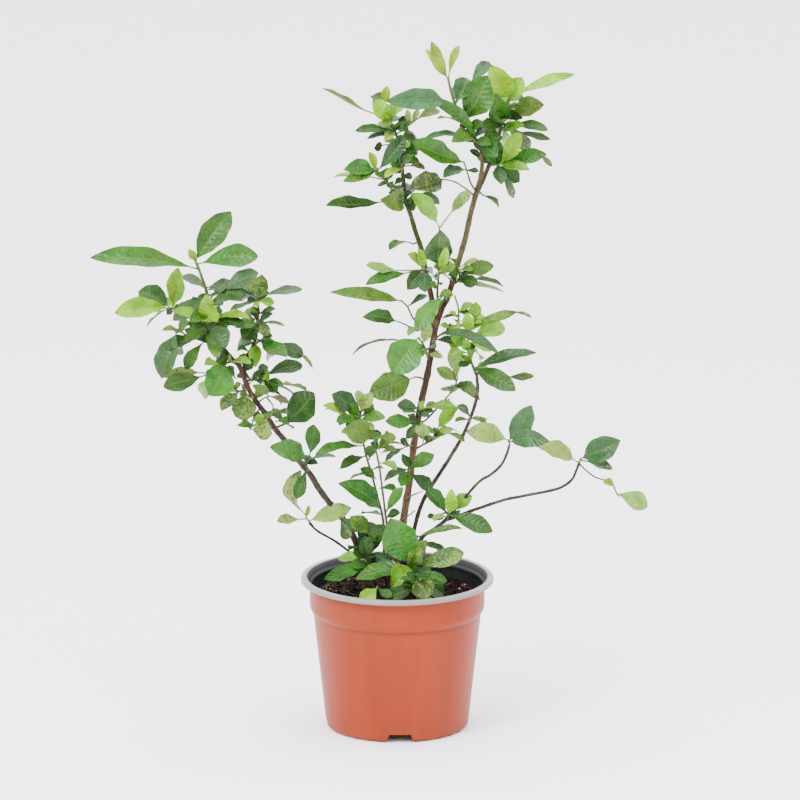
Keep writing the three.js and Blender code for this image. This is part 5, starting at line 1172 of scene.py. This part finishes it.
        ((-1, 587, 16), (-30, 583, 8), 9, 20, 0.03, "mid"),
        ((-2, 590, 16), (-12, 581, 2), 10, 70, 0.06, "pale"),
        ((2, 577, 18), (-23, 574, 12), 10, 80, -0.1, "dry", 0.6),
        ((2, 578, 18), (20, 586, 30), 16, 40, 0.05, "dark"),
        ((-2, 588, 16), (-16, 598, 38), 15, 40, 0.05, "dark"),
        ((-6, 599, 15), (10, 603, 34), 14, 40, 0.05, "teal"),
        ((2, 574, 18), (-4, 556, 40), 15, 60, 0.05, "mid"),
        ((3, 572, 18), (27, 577, 4), 14, 55, 0.05, "mid"),
        ((3, 570, 18), (-3, 548, 34), 13, 72, 0.05, "dark"),
    ]),
    "crown_mid_shoot": ([
        ([(83, 572, 0), (74, 589, -4), (66, 602, -6), (58, 616, -8), (54, 628, -8),
          (50, 644, -8)], (1.9, 1.4)),
    ], [
        ((50, 642, -8), (34, 678, -12), 14, 74, 0.05, "young", 0.06),
        ((51, 641, -8), (28, 672, 4), 10, 68, 0.05, "young"),
        ((51, 641, -8), (61, 675, -6), 9, 62, 0.05, "young", 0.2),
        ((57, 618, -8), (69, 644, -2), 22, 66, 0.05, "teal"),
        ((58, 616, -8), (-11, 619, -22), 23, 54, 0.11, "glaze", 0.2),
        ((58, 617, -8), (92, 661, 16), 14, 60, 0.02, "teal", 0.5),
        ((82, 574, -1), (37, 622, -18), 14, 50, 0.06, "mid", 0.08),
        ((66, 601, -6), (89, 645, -18), 34, 66, 0.06, "mid", 0.06),
        ((70, 595, -5), (41, 606, -26), 10, 16, 0.02, "dark"),
        ((80, 577, -2), (57, 583, -24), 18, 56, 0.08, "olive"),
        ((76, 586, -4), (27, 586, -12), 11, 24, 0.03, "dark", 0.2),
        ((77, 584, -3), (90, 598, 14), 16, 60, 0.05, "dark"),
        ((64, 606, -6), (80, 613, 14), 15, 60, 0.05, "dark"),
        ((57, 620, -8), (72, 628, 26), 17, -15, 0.1, "mid"),
        ((80, 577, -2), (99, 566, -20), 18, 62, 0.05, "mid"),
    ]),
    "crown_right_shoot": ([
        ([(102, 590, 8), (105, 602, 8), (108, 614, 8), (112, 627, 8)], (1.7, 1.1)),
    ], [
        ((111, 624, 8), (94, 656, 2), 28, 60, 0.08, "lime", 0.06),
        ((112, 625, 8), (124, 644, 4), 20, 62, 0.06, "lime"),
        ((112, 626, 8), (174, 650, -2), 15, 34, 0.05, "lime", 0.22),
        ((104, 597, 8), (98, 627, -6), 22, 72, 0.06, "mid", 0.06),
        ((108, 611, 8), (145, 618, 0), 22, 62, 0.02, "olive", 0.25),
        ((107, 608, 8), (119, 616, -6), 9, 50, 0.05, "dark"),
        ((104, 599, 8), (149, 594, -4), 13, 40, 0.02, "mid", 0.2),
        ((104, 598, 8), (152, 583, 14), 10, 30, 0, "dark", 0.4),
        ((103, 593, 8), (124, 597, -10), 14, 56, 0.06, "light"),
        ((105, 601, 8), (132, 574, 10), 17, 60, 0.06, "grey", 0.2),
        ((104, 598, 8), (120, 592, 30), 16, 60, 0.05, "dark"),
        ((106, 606, 8), (121, 614, 26), 15, 50, 0.05, "dark"),
        ((110, 620, 8), (124, 630, 22), 15, 50, 0.05, "teal"),
        ((103, 594, 8), (92, 580, 34), 16, 60, 0.05, "mid"),
        ((103, 592, 8), (84, 576, -8), 18, 60, 0.06, "mid"),
        ((104, 597, 8), (110, 573, 36), 18, 66, 0.06, "lime"),
        ((104, 599, 8), (82, 596, -6), 15, 56, 0.05, "dark"),
    ]),
    "crown_right_low_leaves": ([
        ([(92, 558, 7), (98, 558, 0), (103, 559, -4)], (1.4, 1.1)),
    ], [
        ((103, 559, -4), (123, 588, -16), 19, 72, 0.06, "lime", 0.06),
        ((102, 559, -4), (148, 569, -8), 17, 48, 0.05, "bright", 0.1),
        ((101, 558, -3), (131, 553, -16), 14, 50, 0.04, "light"),
        ((101, 558, -2), (122, 541, 0), 17, 60, 0.05, "dark"),
        ((99, 558, -1), (103, 539, -12), 15, 70, 0.05, "teal"),
        ((100, 558, -2), (116, 525, -10), 9, 24, 0.03, "grey", 0.3),
        ((142, 569, -8), (154, 556, -12), 6, 50, 0.06, "dry"),
        ((99, 558, -1), (84, 569, -8), 13, 60, 0.05, "mid"),
    ]),
    "crown_long_green_leaf": ([
        ([(78, 532, 5), (73, 540, -2), (69, 552, -8), (66, 561, -10)], (1.2, 0.9)),
    ], [
        ((67, 560, -10), (15, 580, -18), 24, 60, 0.02, "bright", 0.04),
        ((69, 553, -8), (47, 546, -20), 15, 58, 0.06, "teal"),
        ((69, 552, -8), (81, 551, -14), 7, 40, 0.03, "dark"),
    ]),
    "crown_foot_leaf": ([
        ([(79, 534, 5), (83, 530, -2), (86, 527, -4)], (1.2, 1)),
    ], [
        ((85, 528, -3), (101, 515, -8), 12, 20, 0.1, "teal"),
    ]),
    "right_stem_head": ([
        ([(79, 348, -13), (74, 361, -16), (70, 376, -16), (72, 392, -14), (77, 406, -12)], (1.5, 1)),
    ], [
        ((71, 388, -15), (69, 410, -22), 12, 74, 0.05, "lime"),
        ((77, 405, -12), (78, 421, -18), 14, 68, 0.05, "light"),
        ((74, 398, -13), (119, 412, -20), 11, 46, 0.04, "olive", 0.08),
        ((73, 394, -14), (92, 404, 4), 16, 60, 0.05, "lime"),
        ((72, 385, -15), (108, 398, -2), 20, 64, 0.05, "lime", 0.16),
        ((71, 381, -16), (93, 374, -24), 13, 46, 0.03, "lime"),
        ((71, 372, -16), (66, 384, -26), 10, 72, 0.05, "light"),
        ((76, 356, -15), (137, 373, -24), 15, 44, 0.04, "teal", 0.08),
        ((75, 357, -15), (117, 334, -30), 21, 58, 0.06, "dark", 0.06),
        ((77, 354, -15), (136, 347, -10), 11, 50, -0.02, "dusky", 0.6),
        ((74, 361, -16), (61, 358, -24), 9, 50, 0.05, "dark"),
        ((71, 374, -16), (84, 366, 10), 14, 60, 0.05, "lime"),
        ((74, 400, -13), (60, 394, 8), 15, 60, 0.05, "mid"),
        ((115, 412, -19), (134, 406, -22), 6, 20, 0.03, "dry"),
        ((71, 377, -16), (53, 387, -22), 14, 60, 0.05, "light"),
    ]),
    "right_stem_leaves": ([
        ([(72, 303, -3), (73, 304, -10), (73, 306, -12)], (1.2, 1)),
    ], [
        ((73, 305, -11), (58, 303, -18), 10, 26, 0.03, "olive"),
        ((73, 305, -12), (88, 300, -18), 10, 26, 0.03, "olive"),
        ((73, 306, -12), (60, 319, -14), 11, 24, 0.1, "grey"),
        ((73, 306, -11), (90, 304, 0), 7, 14, 0.08, "dry"),
    ]),
    "apex_shoot": ([
        ([(47, 204, -15), (50, 208, -20), (52, 212, -22)], (1.5, 1.2)),
    ], [
        ((52, 211, -22), (54, 235, -26), 14, 76, 0.05, "lime", 0.06),
        ((50, 209, -21), (29, 236, -18), 16, 58, 0.06, "dark", 0.08),
        ((53, 211, -22), (74, 229, -18), 16, 62, 0.06, "light"),
        ((52, 210, -21), (95, 193, -30), 19, 54, 0.08, "dark", 0.06),
        ((50, 208, -20), (34, 205, -26), 9, 16, 0.03, "pale"),
        ((51, 210, -21), (56, 208, 10), 15, -10, 0.1, "dark"),
    ]),
    "spray_foot_leaf": ([
        ([(22.5, 172, -10), (20, 180, -18), (20, 189, -22)], (1.2, 0.9)),
    ], [
        ((20, 188, -22), (63, 198, -34), 11, 34, 0.02, "olive"),
        ((20, 182, -19), (49, 172, -20), 12, 22, 0.04, "dark"),
    ]),
    "upper_spray_leaves": ([
        ([(110.5, 275, -25), (111.5, 281, -25), (110, 285, -25)], (1.2, 0.9)),
    ], [
        ((110, 284, -25), (69, 293, -34), 22, 62, 0.16, "pale", 0.1),
        ((110, 284, -25), (133, 319, -28), 23, 66, 0.02, "silver", 0.05),
        ((111, 282, -25), (149, 284, -34), 20, 62, 0.06, "silver", 0.08),
    ]),
    "lower_spray_leaves": ([
        ([(180.5, 258, 10), (182, 264, 10), (183, 266, 10)], (1.2, 1)),
        ([(181, 261, 10), (188, 254, 8), (196, 248, 7), (204, 245, 6), (213, 243, 5),
          (217, 234, 4), (220, 228, 4)], (0.9, 0.8)),
    ], [
        ((181, 262, 10), (139, 278, 4), 21, 58, 0.08, "pale", 0.16),
        ((183, 266, 10), (222, 284, 6), 27, 60, 0.16, "glaze", 0.06),
        ((183, 264, 10), (213, 257, -2), 12, 42, 0.02, "grey", 0.3),
        ((218, 230, 4), (249, 218, 0), 20, 62, 0.05, "pale", 0.04),
        ((204, 245, 6), (215, 239, 0), 9, 50, 0.05, "young"),
    ]),
    "basal_left_shoot": ([
        ([(-22, 126, -12), (-26, 145, -10), (-29, 162, -8), (-28, 180, -6), (-27, 190, -4)],
          (1.6, 1.1), "rooted"),
    ], [
        ((-28, 160, -8), (-73, 145, -14), 15, 46, 0.04, "bright", 0.06),
        ((-29, 163, -8), (-59, 167, 12), 15, 34, 0.03, "light"),
        ((-28, 164, -8), (-26, 203, 8), 29, 74, 0.05, "dark", 0.06),
        ((-29, 162, -8), (-33, 188, -16), 16, 72, 0.05, "teal"),
        ((-27, 189, -4), (-46, 208, -8), 18, 62, 0.06, "olive"),
        ((-27, 188, -4), (-28, 196, 26), 15, -10, 0.1, "dark"),
        ((-28, 168, -8), (-48, 176, 20), 17, -10, 0.1, "dark"),
        ((-28, 178, -6), (-12, 199, -14), 17, 66, 0.05, "dark"),
    ]),
    "basal_centre_shoot": ([
        ([(14, 124, -30), (14, 140, -30), (15, 157, -30), (15, 163, -30)], (1.7, 1.3), "rooted"),
    ], [
        ((14, 161, -30), (-7, 206, -38), 38, 78, 0.08, "glossy", 0.05),
        ((14, 159, -30), (-42, 146, -32), 24, 38, 0.04, "mid", 0.06),
        ((14, 158, -30), (-5, 137, -46), 30, 66, 0.07, "light", 0.06),
        ((16, 159, -30), (24, 181, -40), 17, 70, 0.05, "marbled"),
        ((16, 159, -30), (66, 173, -24), 21, 54, 0.06, "cream", 0.06),
        ((16, 161, -30), (29, 184, -32), 15, 60, 0.06, "cream"),
    ]),
    "basal_front_shoot": ([
        ([(21, 115, -56), (20, 132, -54), (19, 149, -52)], (1.5, 1.2), "rooted"),
    ], [
        ((19, 148, -52), (31, 126, -66), 25, 70, 0.08, "dusky", 0.06),
        ((19, 147, -52), (50, 144, -48), 14, 44, 0.03, "mid"),
        ((20, 145, -52), (47, 130, -50), 18, 60, 0.06, "teal", 0.2),
        ((20, 139, -53), (-13, 126, -60), 16, 50, 0.08, "dark"),
    ]),
    "basal_small_leaf": ([
        ([(-14, 117, -52), (-17, 130, -54), (-20, 139, -56)], (1.2, 0.9), "rooted"),
    ], [
        ((-20, 138, -56), (-37, 121, -66), 17, 62, 0.06, "lime"),
        ((-19, 137, -55), (-6, 128, -66), 11, 50, 0.06, "mid"),
    ]),
}
# The small leaves that crowd a shoot: a path, how many along it, their usual length and their tones.
fillers = {
    "left_top_shoot": [([(-187, 397, 2), (-188, 427, 2)], 4, 16, ("dark", "teal"))],
    "left_outer_shoot": [
        ([(-190, 396, 10), (-206, 407, 12), (-226, 416, 12)], 8, 19, ("dark", "mid", "lime")),
    ],
    "left_centre_shoot": [
        ([(-187, 399, 2), (-183, 391, 1), (-179, 385, 0)], 8, 20, ("dark", "mid", "light")),
        ([(-187, 399, -8), (-184, 414, -12), (-183, 430, -14)], 6, 20, ("dark", "teal", "mid")),
    ],
    "left_fork_shoot": [
        ([(-152, 350, -2), (-150, 366, 2), (-145, 374, 5)], 5, 17, ("mid", "olive", "bright")),
    ],
    "left_fork_head": [
        ([(-140, 390, 9), (-139, 405, 10), (-138, 425, 12)], 10, 17, ("dark", "teal", "lime")),
    ],
    "left_right_shoot": [([(-139, 383, 3), (-134, 385, 1), (-128, 387, 0)], 5, 18, ("mid", "dark"))],
    "left_elbow_shoot": [([(-148, 343, 0), (-138, 345, 4), (-126, 340, 6)], 7, 18, ("mid", "olive", "dark"))],
    "left_low_twigs": [
        ([(-180, 383, -4), (-200, 385, -10), (-219, 394, -12)], 8, 19, ("dark", "teal", "mid")),
    ],
    "left_round_leaves": [
        ([(-158, 358, -4), (-170, 361, -13), (-184, 350, -14)], 6, 19, ("light", "mid", "dark")),
    ],
    "left_spotted_leaves": [
        ([(-141, 323, 3), (-156, 333, 6), (-166, 333, 8)], 6, 15, ("marbled", "pale", "olive")),
    ],
    "left_marbled_twig": [
        ([(-130, 309, 3), (-138, 302, -2), (-146, 296, -6)], 6, 15, ("marbled", "pale", "olive")),
    ],
    "left_inner_twig": [
        ([(-122, 300, 4), (-116, 318, 6), (-112, 330, 6)], 5, 14, ("marbled", "olive", "mid")),
    ],
    "left_mid_shoot": [([(-94, 262, 6), (-90, 264, 0)], 4, 15, ("mid", "dark"))],
    "middle_stem_left": [
        ([(-16, 232, -12), (-30, 270, -12)], 4, 17, ("mid", "bright")),
        ([(-33, 285, -12), (-37, 304, -12), (-36, 314, -12)], 11, 20, ("bright", "mid", "lime", "dark")),
    ],
    "middle_stem_right": [([(-16, 270, -28), (-22, 290, -28)], 6, 17, ("olive", "mid", "lime"))],
    "trunk_node_leaves": [([(21.5, 308, 2), (22, 315, -8)], 4, 17, ("mid", "light", "teal"))],
    "trunk_low_node_leaves": [([(19, 293, 3), (17, 302, -8)], 4, 15, ("mid", "dark"))],
    "trunk_right_branch": [([(26, 279, 6), (33, 283, 6), (41, 296, 2)], 6, 16, ("pale", "olive", "mid"))],
    "trunk_twig_leaves": [([(39, 315, 8), (56, 335, 6), (60, 345, 4)], 7, 15, ("pale", "olive", "mid"))],
    "bright_broad_leaf": [([(31, 366, -2), (27, 377, -9)], 4, 18, ("bright", "pale", "lime"))],
    "right_cluster_shoot": [([(57, 441, 1), (62, 447, -2), (60, 456, -4)], 6, 15, ("mid", "dark", "light"))],
    "right_long_leaves": [([(48, 392, -11), (59, 398, -8), (61, 414, -6)], 6, 15, ("lime", "light", "dark"))],
    "centre_shoot": [([(40, 424, -5), (41, 449, -9), (41, 478, -10)], 8, 15, ("mid", "light", "dark"))],
    "right_stem_head": [
        ([(77, 353, -14), (70, 376, -16), (72, 392, -14), (77, 406, -12)], 12, 18, ("lime", "light", "mid")),
    ],
    "crown_left_whorl": [([(9, 520, 17), (7, 524, 6)], 5, 17, ("olive", "dark"))],
    "crown_left_twig": [([(-3, 536, 12), (-12, 542, 8), (-21, 552, 6)], 6, 15, ("mid", "dark", "olive"))],
    "crown_left_sprig": [([(5, 545, 18), (4, 562, 18)], 6, 16, ("dark", "mid"))],
    "crown_left_head": [
        ([(3, 568, 18), (2, 577, 18), (-2, 590, 16), (-9, 606, 14)], 14, 17, ("dark", "mid", "light")),
    ],
    "crown_mid_shoot": [([(83, 574, 0), (74, 589, -4), (62, 610, -7)], 9, 20, ("mid", "dark", "olive"))],
    "crown_right_shoot": [
        ([(103, 594, 8), (105, 604, 8), (110, 620, 8)], 14, 20, ("dark", "mid", "bright", "lime")),
    ],
    "crown_right_low_leaves": [
        ([(92, 558, 7), (98, 558, 0), (103, 559, -4)], 7, 20, ("dark", "mid", "olive")),
    ],
    "crown_long_green_leaf": [([(83, 560, 3), (83, 576, 0)], 6, 20, ("mid", "dark"))],
    "apex_shoot": [([(36, 203, -10), (48, 216, -14)], 4, 15, ("bright", "lime", "dark"))],
    "basal_left_shoot": [([(-27, 152, -9), (-29, 162, -8), (-28, 184, -5)], 9, 20, ("dark", "mid", "teal"))],
    "basal_centre_shoot": [([(14, 146, -28), (15, 160, -28)], 4, 17, ("mid", "dark"))],
    "basal_front_shoot": [([(20, 136, -53), (19, 148, -52)], 9, 20, ("mid", "dark", "teal", "marbled"))],
}


def filler_leaves(path, count, usual_length):
    """Foot, tip, width and facing of small leaves along a path.

    Leaf k points about k golden turns round, between 15 degrees below level and 50 above, and is 0.7 to
    1.3 times the usual length.
    """
    centres = course(path, False, shoot_ring)[0]
    for number in range(count):
        foot = centres[int((number + 0.5) / count * (len(centres) - 1))]
        turn = math.radians(golden_turn * number + 60 * draw(foot, 7))
        rise = math.radians(-15 + 65 * draw(foot, 8))
        way = np.array([math.cos(turn) * math.cos(rise), math.sin(turn) * math.cos(rise), math.sin(rise)])
        length = usual_length * (0.7 + 0.6 * draw(foot, 9))
        tip = foot + length * way
        yield foot, tip, length * (0.48 + 0.2 * draw(foot, 10)), 20 + 55 * draw(foot, 13)


veins = bpy.data.node_groups.new("Leaf veins", "ShaderNodeTree")
for socket in ("Across", "Along"):
    veins.interface.new_socket(socket, in_out="INPUT", socket_type="NodeSocketFloat")
for socket in ("Midrib", "Side veins", "Height"):
    veins.interface.new_socket(socket, in_out="OUTPUT", socket_type="NodeSocketFloat")
given = add_node(veins, "NodeGroupInput").outputs
aside = node_maths(veins, "ABSOLUTE", given["Across"])
midrib = node_range(veins, aside, 0.085, 0.02)
back_by = node_maths(veins, "MULTIPLY", node_maths(veins, "POWER", aside, 0.75), -1.7)
count = node_maths(veins, "MULTIPLY_ADD", given["Along"], 9.0, back_by)
between = node_maths(veins, "MULTIPLY", node_maths(veins, "PINGPONG", count, 0.5), 2.0)
vein = node_range(veins, between, 0.2, 0.03)
side_vein = node_maths(veins, "MULTIPLY", vein, node_range(veins, aside, 1.0, 0.35))
quilt = node_maths(veins, "POWER", node_range(veins, between, 0.0, 0.85), 0.6)
groove = node_maths(veins, "MULTIPLY_ADD", midrib, -0.9, quilt)
vein_outputs = [("Midrib", midrib), ("Side veins", side_vein), ("Height", groove)]
add_node(veins, "NodeGroupOutput", vein_outputs)

leaf_look, tree, shader = new_material("leaf", IOR=1.45, Specular_IOR_Level=0.22, Subsurface_Weight=0.1)
shader.inputs["Subsurface Radius"].default_value = (0.5, 1.0, 0.2)
shader.inputs["Subsurface Scale"].default_value = 0.0012
place = node_place(tree)
tone = add_node(tree, "ShaderNodeAttribute", attribute_name="tone").outputs
marks = add_node(tree, "ShaderNodeAttribute", attribute_name="leaf").outputs["Vector"]
parts = add_node(tree, "ShaderNodeSeparateXYZ", [("Vector", marks)]).outputs
vein_links = [("Across", parts["X"]), ("Along", parts["Y"])]
vein_map = add_node(tree, "ShaderNodeGroup", vein_links, node_tree=veins).outputs
clouds = node_noise(tree, place, 60.0, 3.0)
fine_clouds = node_noise(tree, place, 210.0, 3.0)
cloud_value = node_range(tree, clouds, 0.3, 0.7, 0.66, 1.34)
fine_value = node_range(tree, fine_clouds, 0.3, 0.7, 0.84, 1.16)
cloud_hue = node_range(tree, node_noise(tree, place, 38.0), 0.3, 0.7, 0.482, 0.512)
cloud_value = node_maths(tree, "MULTIPLY", cloud_value, fine_value)
clouded = node_shade(tree, tone["Color"], Hue=cloud_hue, Value=cloud_value)
patch_noise = node_noise(tree, place, 75.0, 2.0)
speckles = node_maths(tree, "MULTIPLY", node_noise(tree, place, 420.0, 5.0, 0.65), 0.6)
mixed = node_maths(tree, "MULTIPLY_ADD", patch_noise, 0.4, speckles)
shifted = node_maths(tree, "MULTIPLY_ADD", tone["Alpha"], 0.2, mixed)
patch = node_maths(tree, "MULTIPLY", node_range(tree, shifted, 0.575, 0.64), tone["Alpha"])
patched = node_mix(tree, patch, clouded, cream_patch)
veined = node_mix(tree, node_maths(tree, "MULTIPLY", vein_map["Side veins"], 0.09), patched, vein_green)
ribbed = node_mix(tree, node_maths(tree, "MULTIPLY", vein_map["Midrib"], 0.3), veined, rib_green)
sided = node_mix(tree, node_maths(tree, "MULTIPLY", parts["Z"], 0.45), ribbed, underside_green)
at_tip = node_maths(tree, "MULTIPLY_ADD", patch_noise, 0.3, node_range(tree, parts["Y"], 0.8, 1.0))
frayed = node_maths(tree, "MULTIPLY_ADD", patch_noise, 0.3, node_maths(tree, "ABSOLUTE", parts["X"]))
frayed = node_maths(tree, "MULTIPLY_ADD", tone["Alpha"], 0.14, frayed)
at_edge = node_range(tree, frayed, 1.14, 1.24, 0.0, 0.6)
scorch = node_maths(tree, "MAXIMUM", node_range(tree, at_tip, 0.85, 1.1, 0.0, 0.7), at_edge)
scorched = node_mix(tree, scorch, sided, scorch_brown)
wax = node_range(tree, clouds, 0.3, 0.7, 0.2, 0.36)
feed(tree, shader, Base_Color=scorched, Roughness=node_maths(tree, "MULTIPLY_ADD", parts["Z"], 0.3, wax))
quilted = node_bump(tree, vein_map["Height"], 0.5, 0.0007)
waved = node_bump(tree, fine_clouds, 0.5, 0.0016, quilted)
feed(tree, shader, Normal=node_bump(tree, node_noise(tree, place, 1400.0), 0.12, 0.0002, waved))

shoot_green = (0.070, 0.125, 0.018)
shoot_brown = (0.032, 0.028, 0.010)
shoot_bark = (0.028, 0.021, 0.011, 1)
rooted_ripeness = 0.3
shoot_look, tree, shader = new_material("green_stem", Roughness=0.5, Specular_IOR_Level=0.25)
woody = node_range(tree, node_noise(tree, node_place(tree), 26.0), 0.42, 0.6)
growth = add_node(tree, "ShaderNodeAttribute", attribute_name="tone").outputs["Color"]
feed(tree, shader, Base_Color=node_mix(tree, node_maths(tree, "MULTIPLY", woody, 0.45), growth, shoot_bark))
strands = node_noise(tree, node_place(tree, 500.0, 500.0, 140.0), 1.0, 4.0)
feed(tree, shader, Normal=node_bump(tree, strands, 0.5, 0.0003))

for name, (stems, leaves) in shoots.items():
    points, faces, marks, colours, kinds = [], [], [], [], []
    count = 0
    lines = []
    for number, (path, radii, *rooted) in enumerate(stems):
        centres, shares = course(path, rooted, shoot_ring)
        lines.append(centres)
        swollen = bark_radii(shares, radii, shoot_sides, number + len(name))
        stem_points, stem_faces = tube(centres, swollen, shoot_sides)
        faces += moved_on(stem_faces, count)
        kinds += [1] * len(stem_faces)
        points.append(stem_points)
        marks.append(np.zeros((len(stem_points), 3)))
        ripe = np.append(np.repeat(shares / shares[-1], shoot_sides), (0, 1))[:, None] ** 1.5
        ripe *= rooted_ripeness if rooted else 1
        growth = np.array(shoot_brown) + ripe * (np.array(shoot_green) - shoot_brown)
        colours.append(np.hstack([growth, np.zeros_like(ripe)]))
        count += len(stem_points)
    line = np.concatenate(lines)
    blades = []
    for foot_place, tip_place, width, facing, arch, tone_name, *rest in leaves:
        petiole = rest[0] if rest else usual_petiole
        heading = rest[1] if len(rest) > 1 else 0
        foot, tip = seen([foot_place])[0], seen([tip_place])[0]
        gaps = np.linalg.norm(line - foot, axis=1)
        if gaps.min() < foot_reach:
            foot = line[gaps.argmin()]
        blades.append((foot, tip, width, facing, arch, petiole, heading, tone_name))
    for path, number, usual_length, tone_names in fillers.get(name, []):
        for foot, tip, width, facing in filler_leaves(path, number, usual_length):
            tone_name = tone_names[int(len(tone_names) * draw(tip, 14))]
            blades.append((foot, tip, width, facing, filler_arch, filler_petiole, 0, tone_name))
    for foot, tip, width, facing, arch, petiole, heading, tone_name in blades:
        leaf_points, leaf_faces, leaf_marks = leaf_sheet(foot, tip, width, facing, arch, petiole, heading)
        faces += moved_on(leaf_faces, count)
        kinds += [0] * len(leaf_faces)
        points.append(leaf_points)
        marks.append(leaf_marks)
        shade = np.array(tones[tone_name]) * (0.78 + 0.44 * draw(tip, 5))
        shade[0] *= 0.85 + 0.3 * draw(tip, 15)
        mottle = mottles.get(tone_name, 0) * (0.6 + 0.7 * draw(tip, 6))
        colours.append(np.tile((*shade, min(mottle, 1)), (len(leaf_points), 1)))
        count += len(leaf_points)
    points = np.concatenate(points)
    shoot = mesh_object(name + "_grown", points, faces, [leaf_look, shoot_look], kinds, smooth_angle=60)
    keep_values(shoot, "leaf", "FLOAT_VECTOR", "vector", np.concatenate(marks))
    keep_values(shoot, "tone", "FLOAT_COLOR", "color", np.concatenate(colours))
    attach(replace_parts(shoot, name), "root")

# Stage
# A plain pale floor and soft studio light. The camera looks down at the pot from 15 degrees above, from far
# enough away that its view hardly narrows.
horizon_light = 1.0
zenith_light = 4.8
floor_reach = 30
camera_away = 20
floor_corners = [(floor_reach * x, floor_reach * y, 0) for x, y in ((-1, -1), (1, -1), (1, 1), (-1, 1))]
floor_mesh = bpy.data.meshes.new("floor")
floor_mesh.from_pydata(floor_corners, [], [(0, 1, 2, 3)])
floor = bpy.data.objects.new("floor", floor_mesh)
bpy.context.scene.collection.objects.link(floor)
floor_look, tree, shader = new_material("floor", Base_Color=(0.92, 0.92, 0.92, 1), Roughness=0.9)
floor_mesh.materials.append(floor_look)

world = bpy.data.worlds.new("studio")
world.use_nodes = True
way = add_node(world.node_tree, "ShaderNodeTexCoord").outputs["Generated"]
way_up = node_axis(world.node_tree, way, "Z")
overhead = node_range(world.node_tree, way_up, 0.0, 1.0, horizon_light, zenith_light)
sky = world.node_tree.nodes["Background"]
sky.inputs["Color"].default_value = (1, 1, 1, 1)
world.node_tree.links.new(overhead, sky.inputs["Strength"])
bpy.context.scene.world = world


def soft_light(name, place, aim, size, power):
    """A square area light at place, turned to aim."""
    lamp = bpy.data.lights.new(name, "AREA")
    lamp.size = size
    lamp.energy = power
    made = bpy.data.objects.new(name, lamp)
    made.location = place
    made.rotation_euler = (Vector(aim) - Vector(place)).to_track_quat("-Z", "Y").to_euler()
    bpy.context.scene.collection.objects.link(made)
    return made


key = soft_light("key", (-1.3, -1.6, 1.9), (0, 0, 0.35), 1.0, 110)
fill = soft_light("fill", (1.8, -1.4, 1.2), (0, 0, 0.3), 1.2, 22)
top = soft_light("top", (0.1, 0.3, 2.4), (0, 0, 0.3), 1.2, 30)
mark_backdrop(floor, key, fill, top)

camera_data = bpy.data.cameras.new("camera")
camera_data.lens = 900
camera_data.sensor_width = 36
camera_data.clip_end = 100
camera = bpy.data.objects.new("camera", camera_data)
bpy.context.scene.collection.objects.link(camera)
target = Vector((0.0028, 0.0839, 0.313))
looking = Vector((0, math.cos(view_tilt), -math.sin(view_tilt)))
camera.location = target - camera_away * looking
camera.rotation_euler = looking.to_track_quat("-Z", "Y").to_euler()
bpy.context.scene.camera = camera

sizes = {"frame": frame_bounds, "object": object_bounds()}
{name: [list(corner) for corner in corners] for name, corners in sizes.items()}
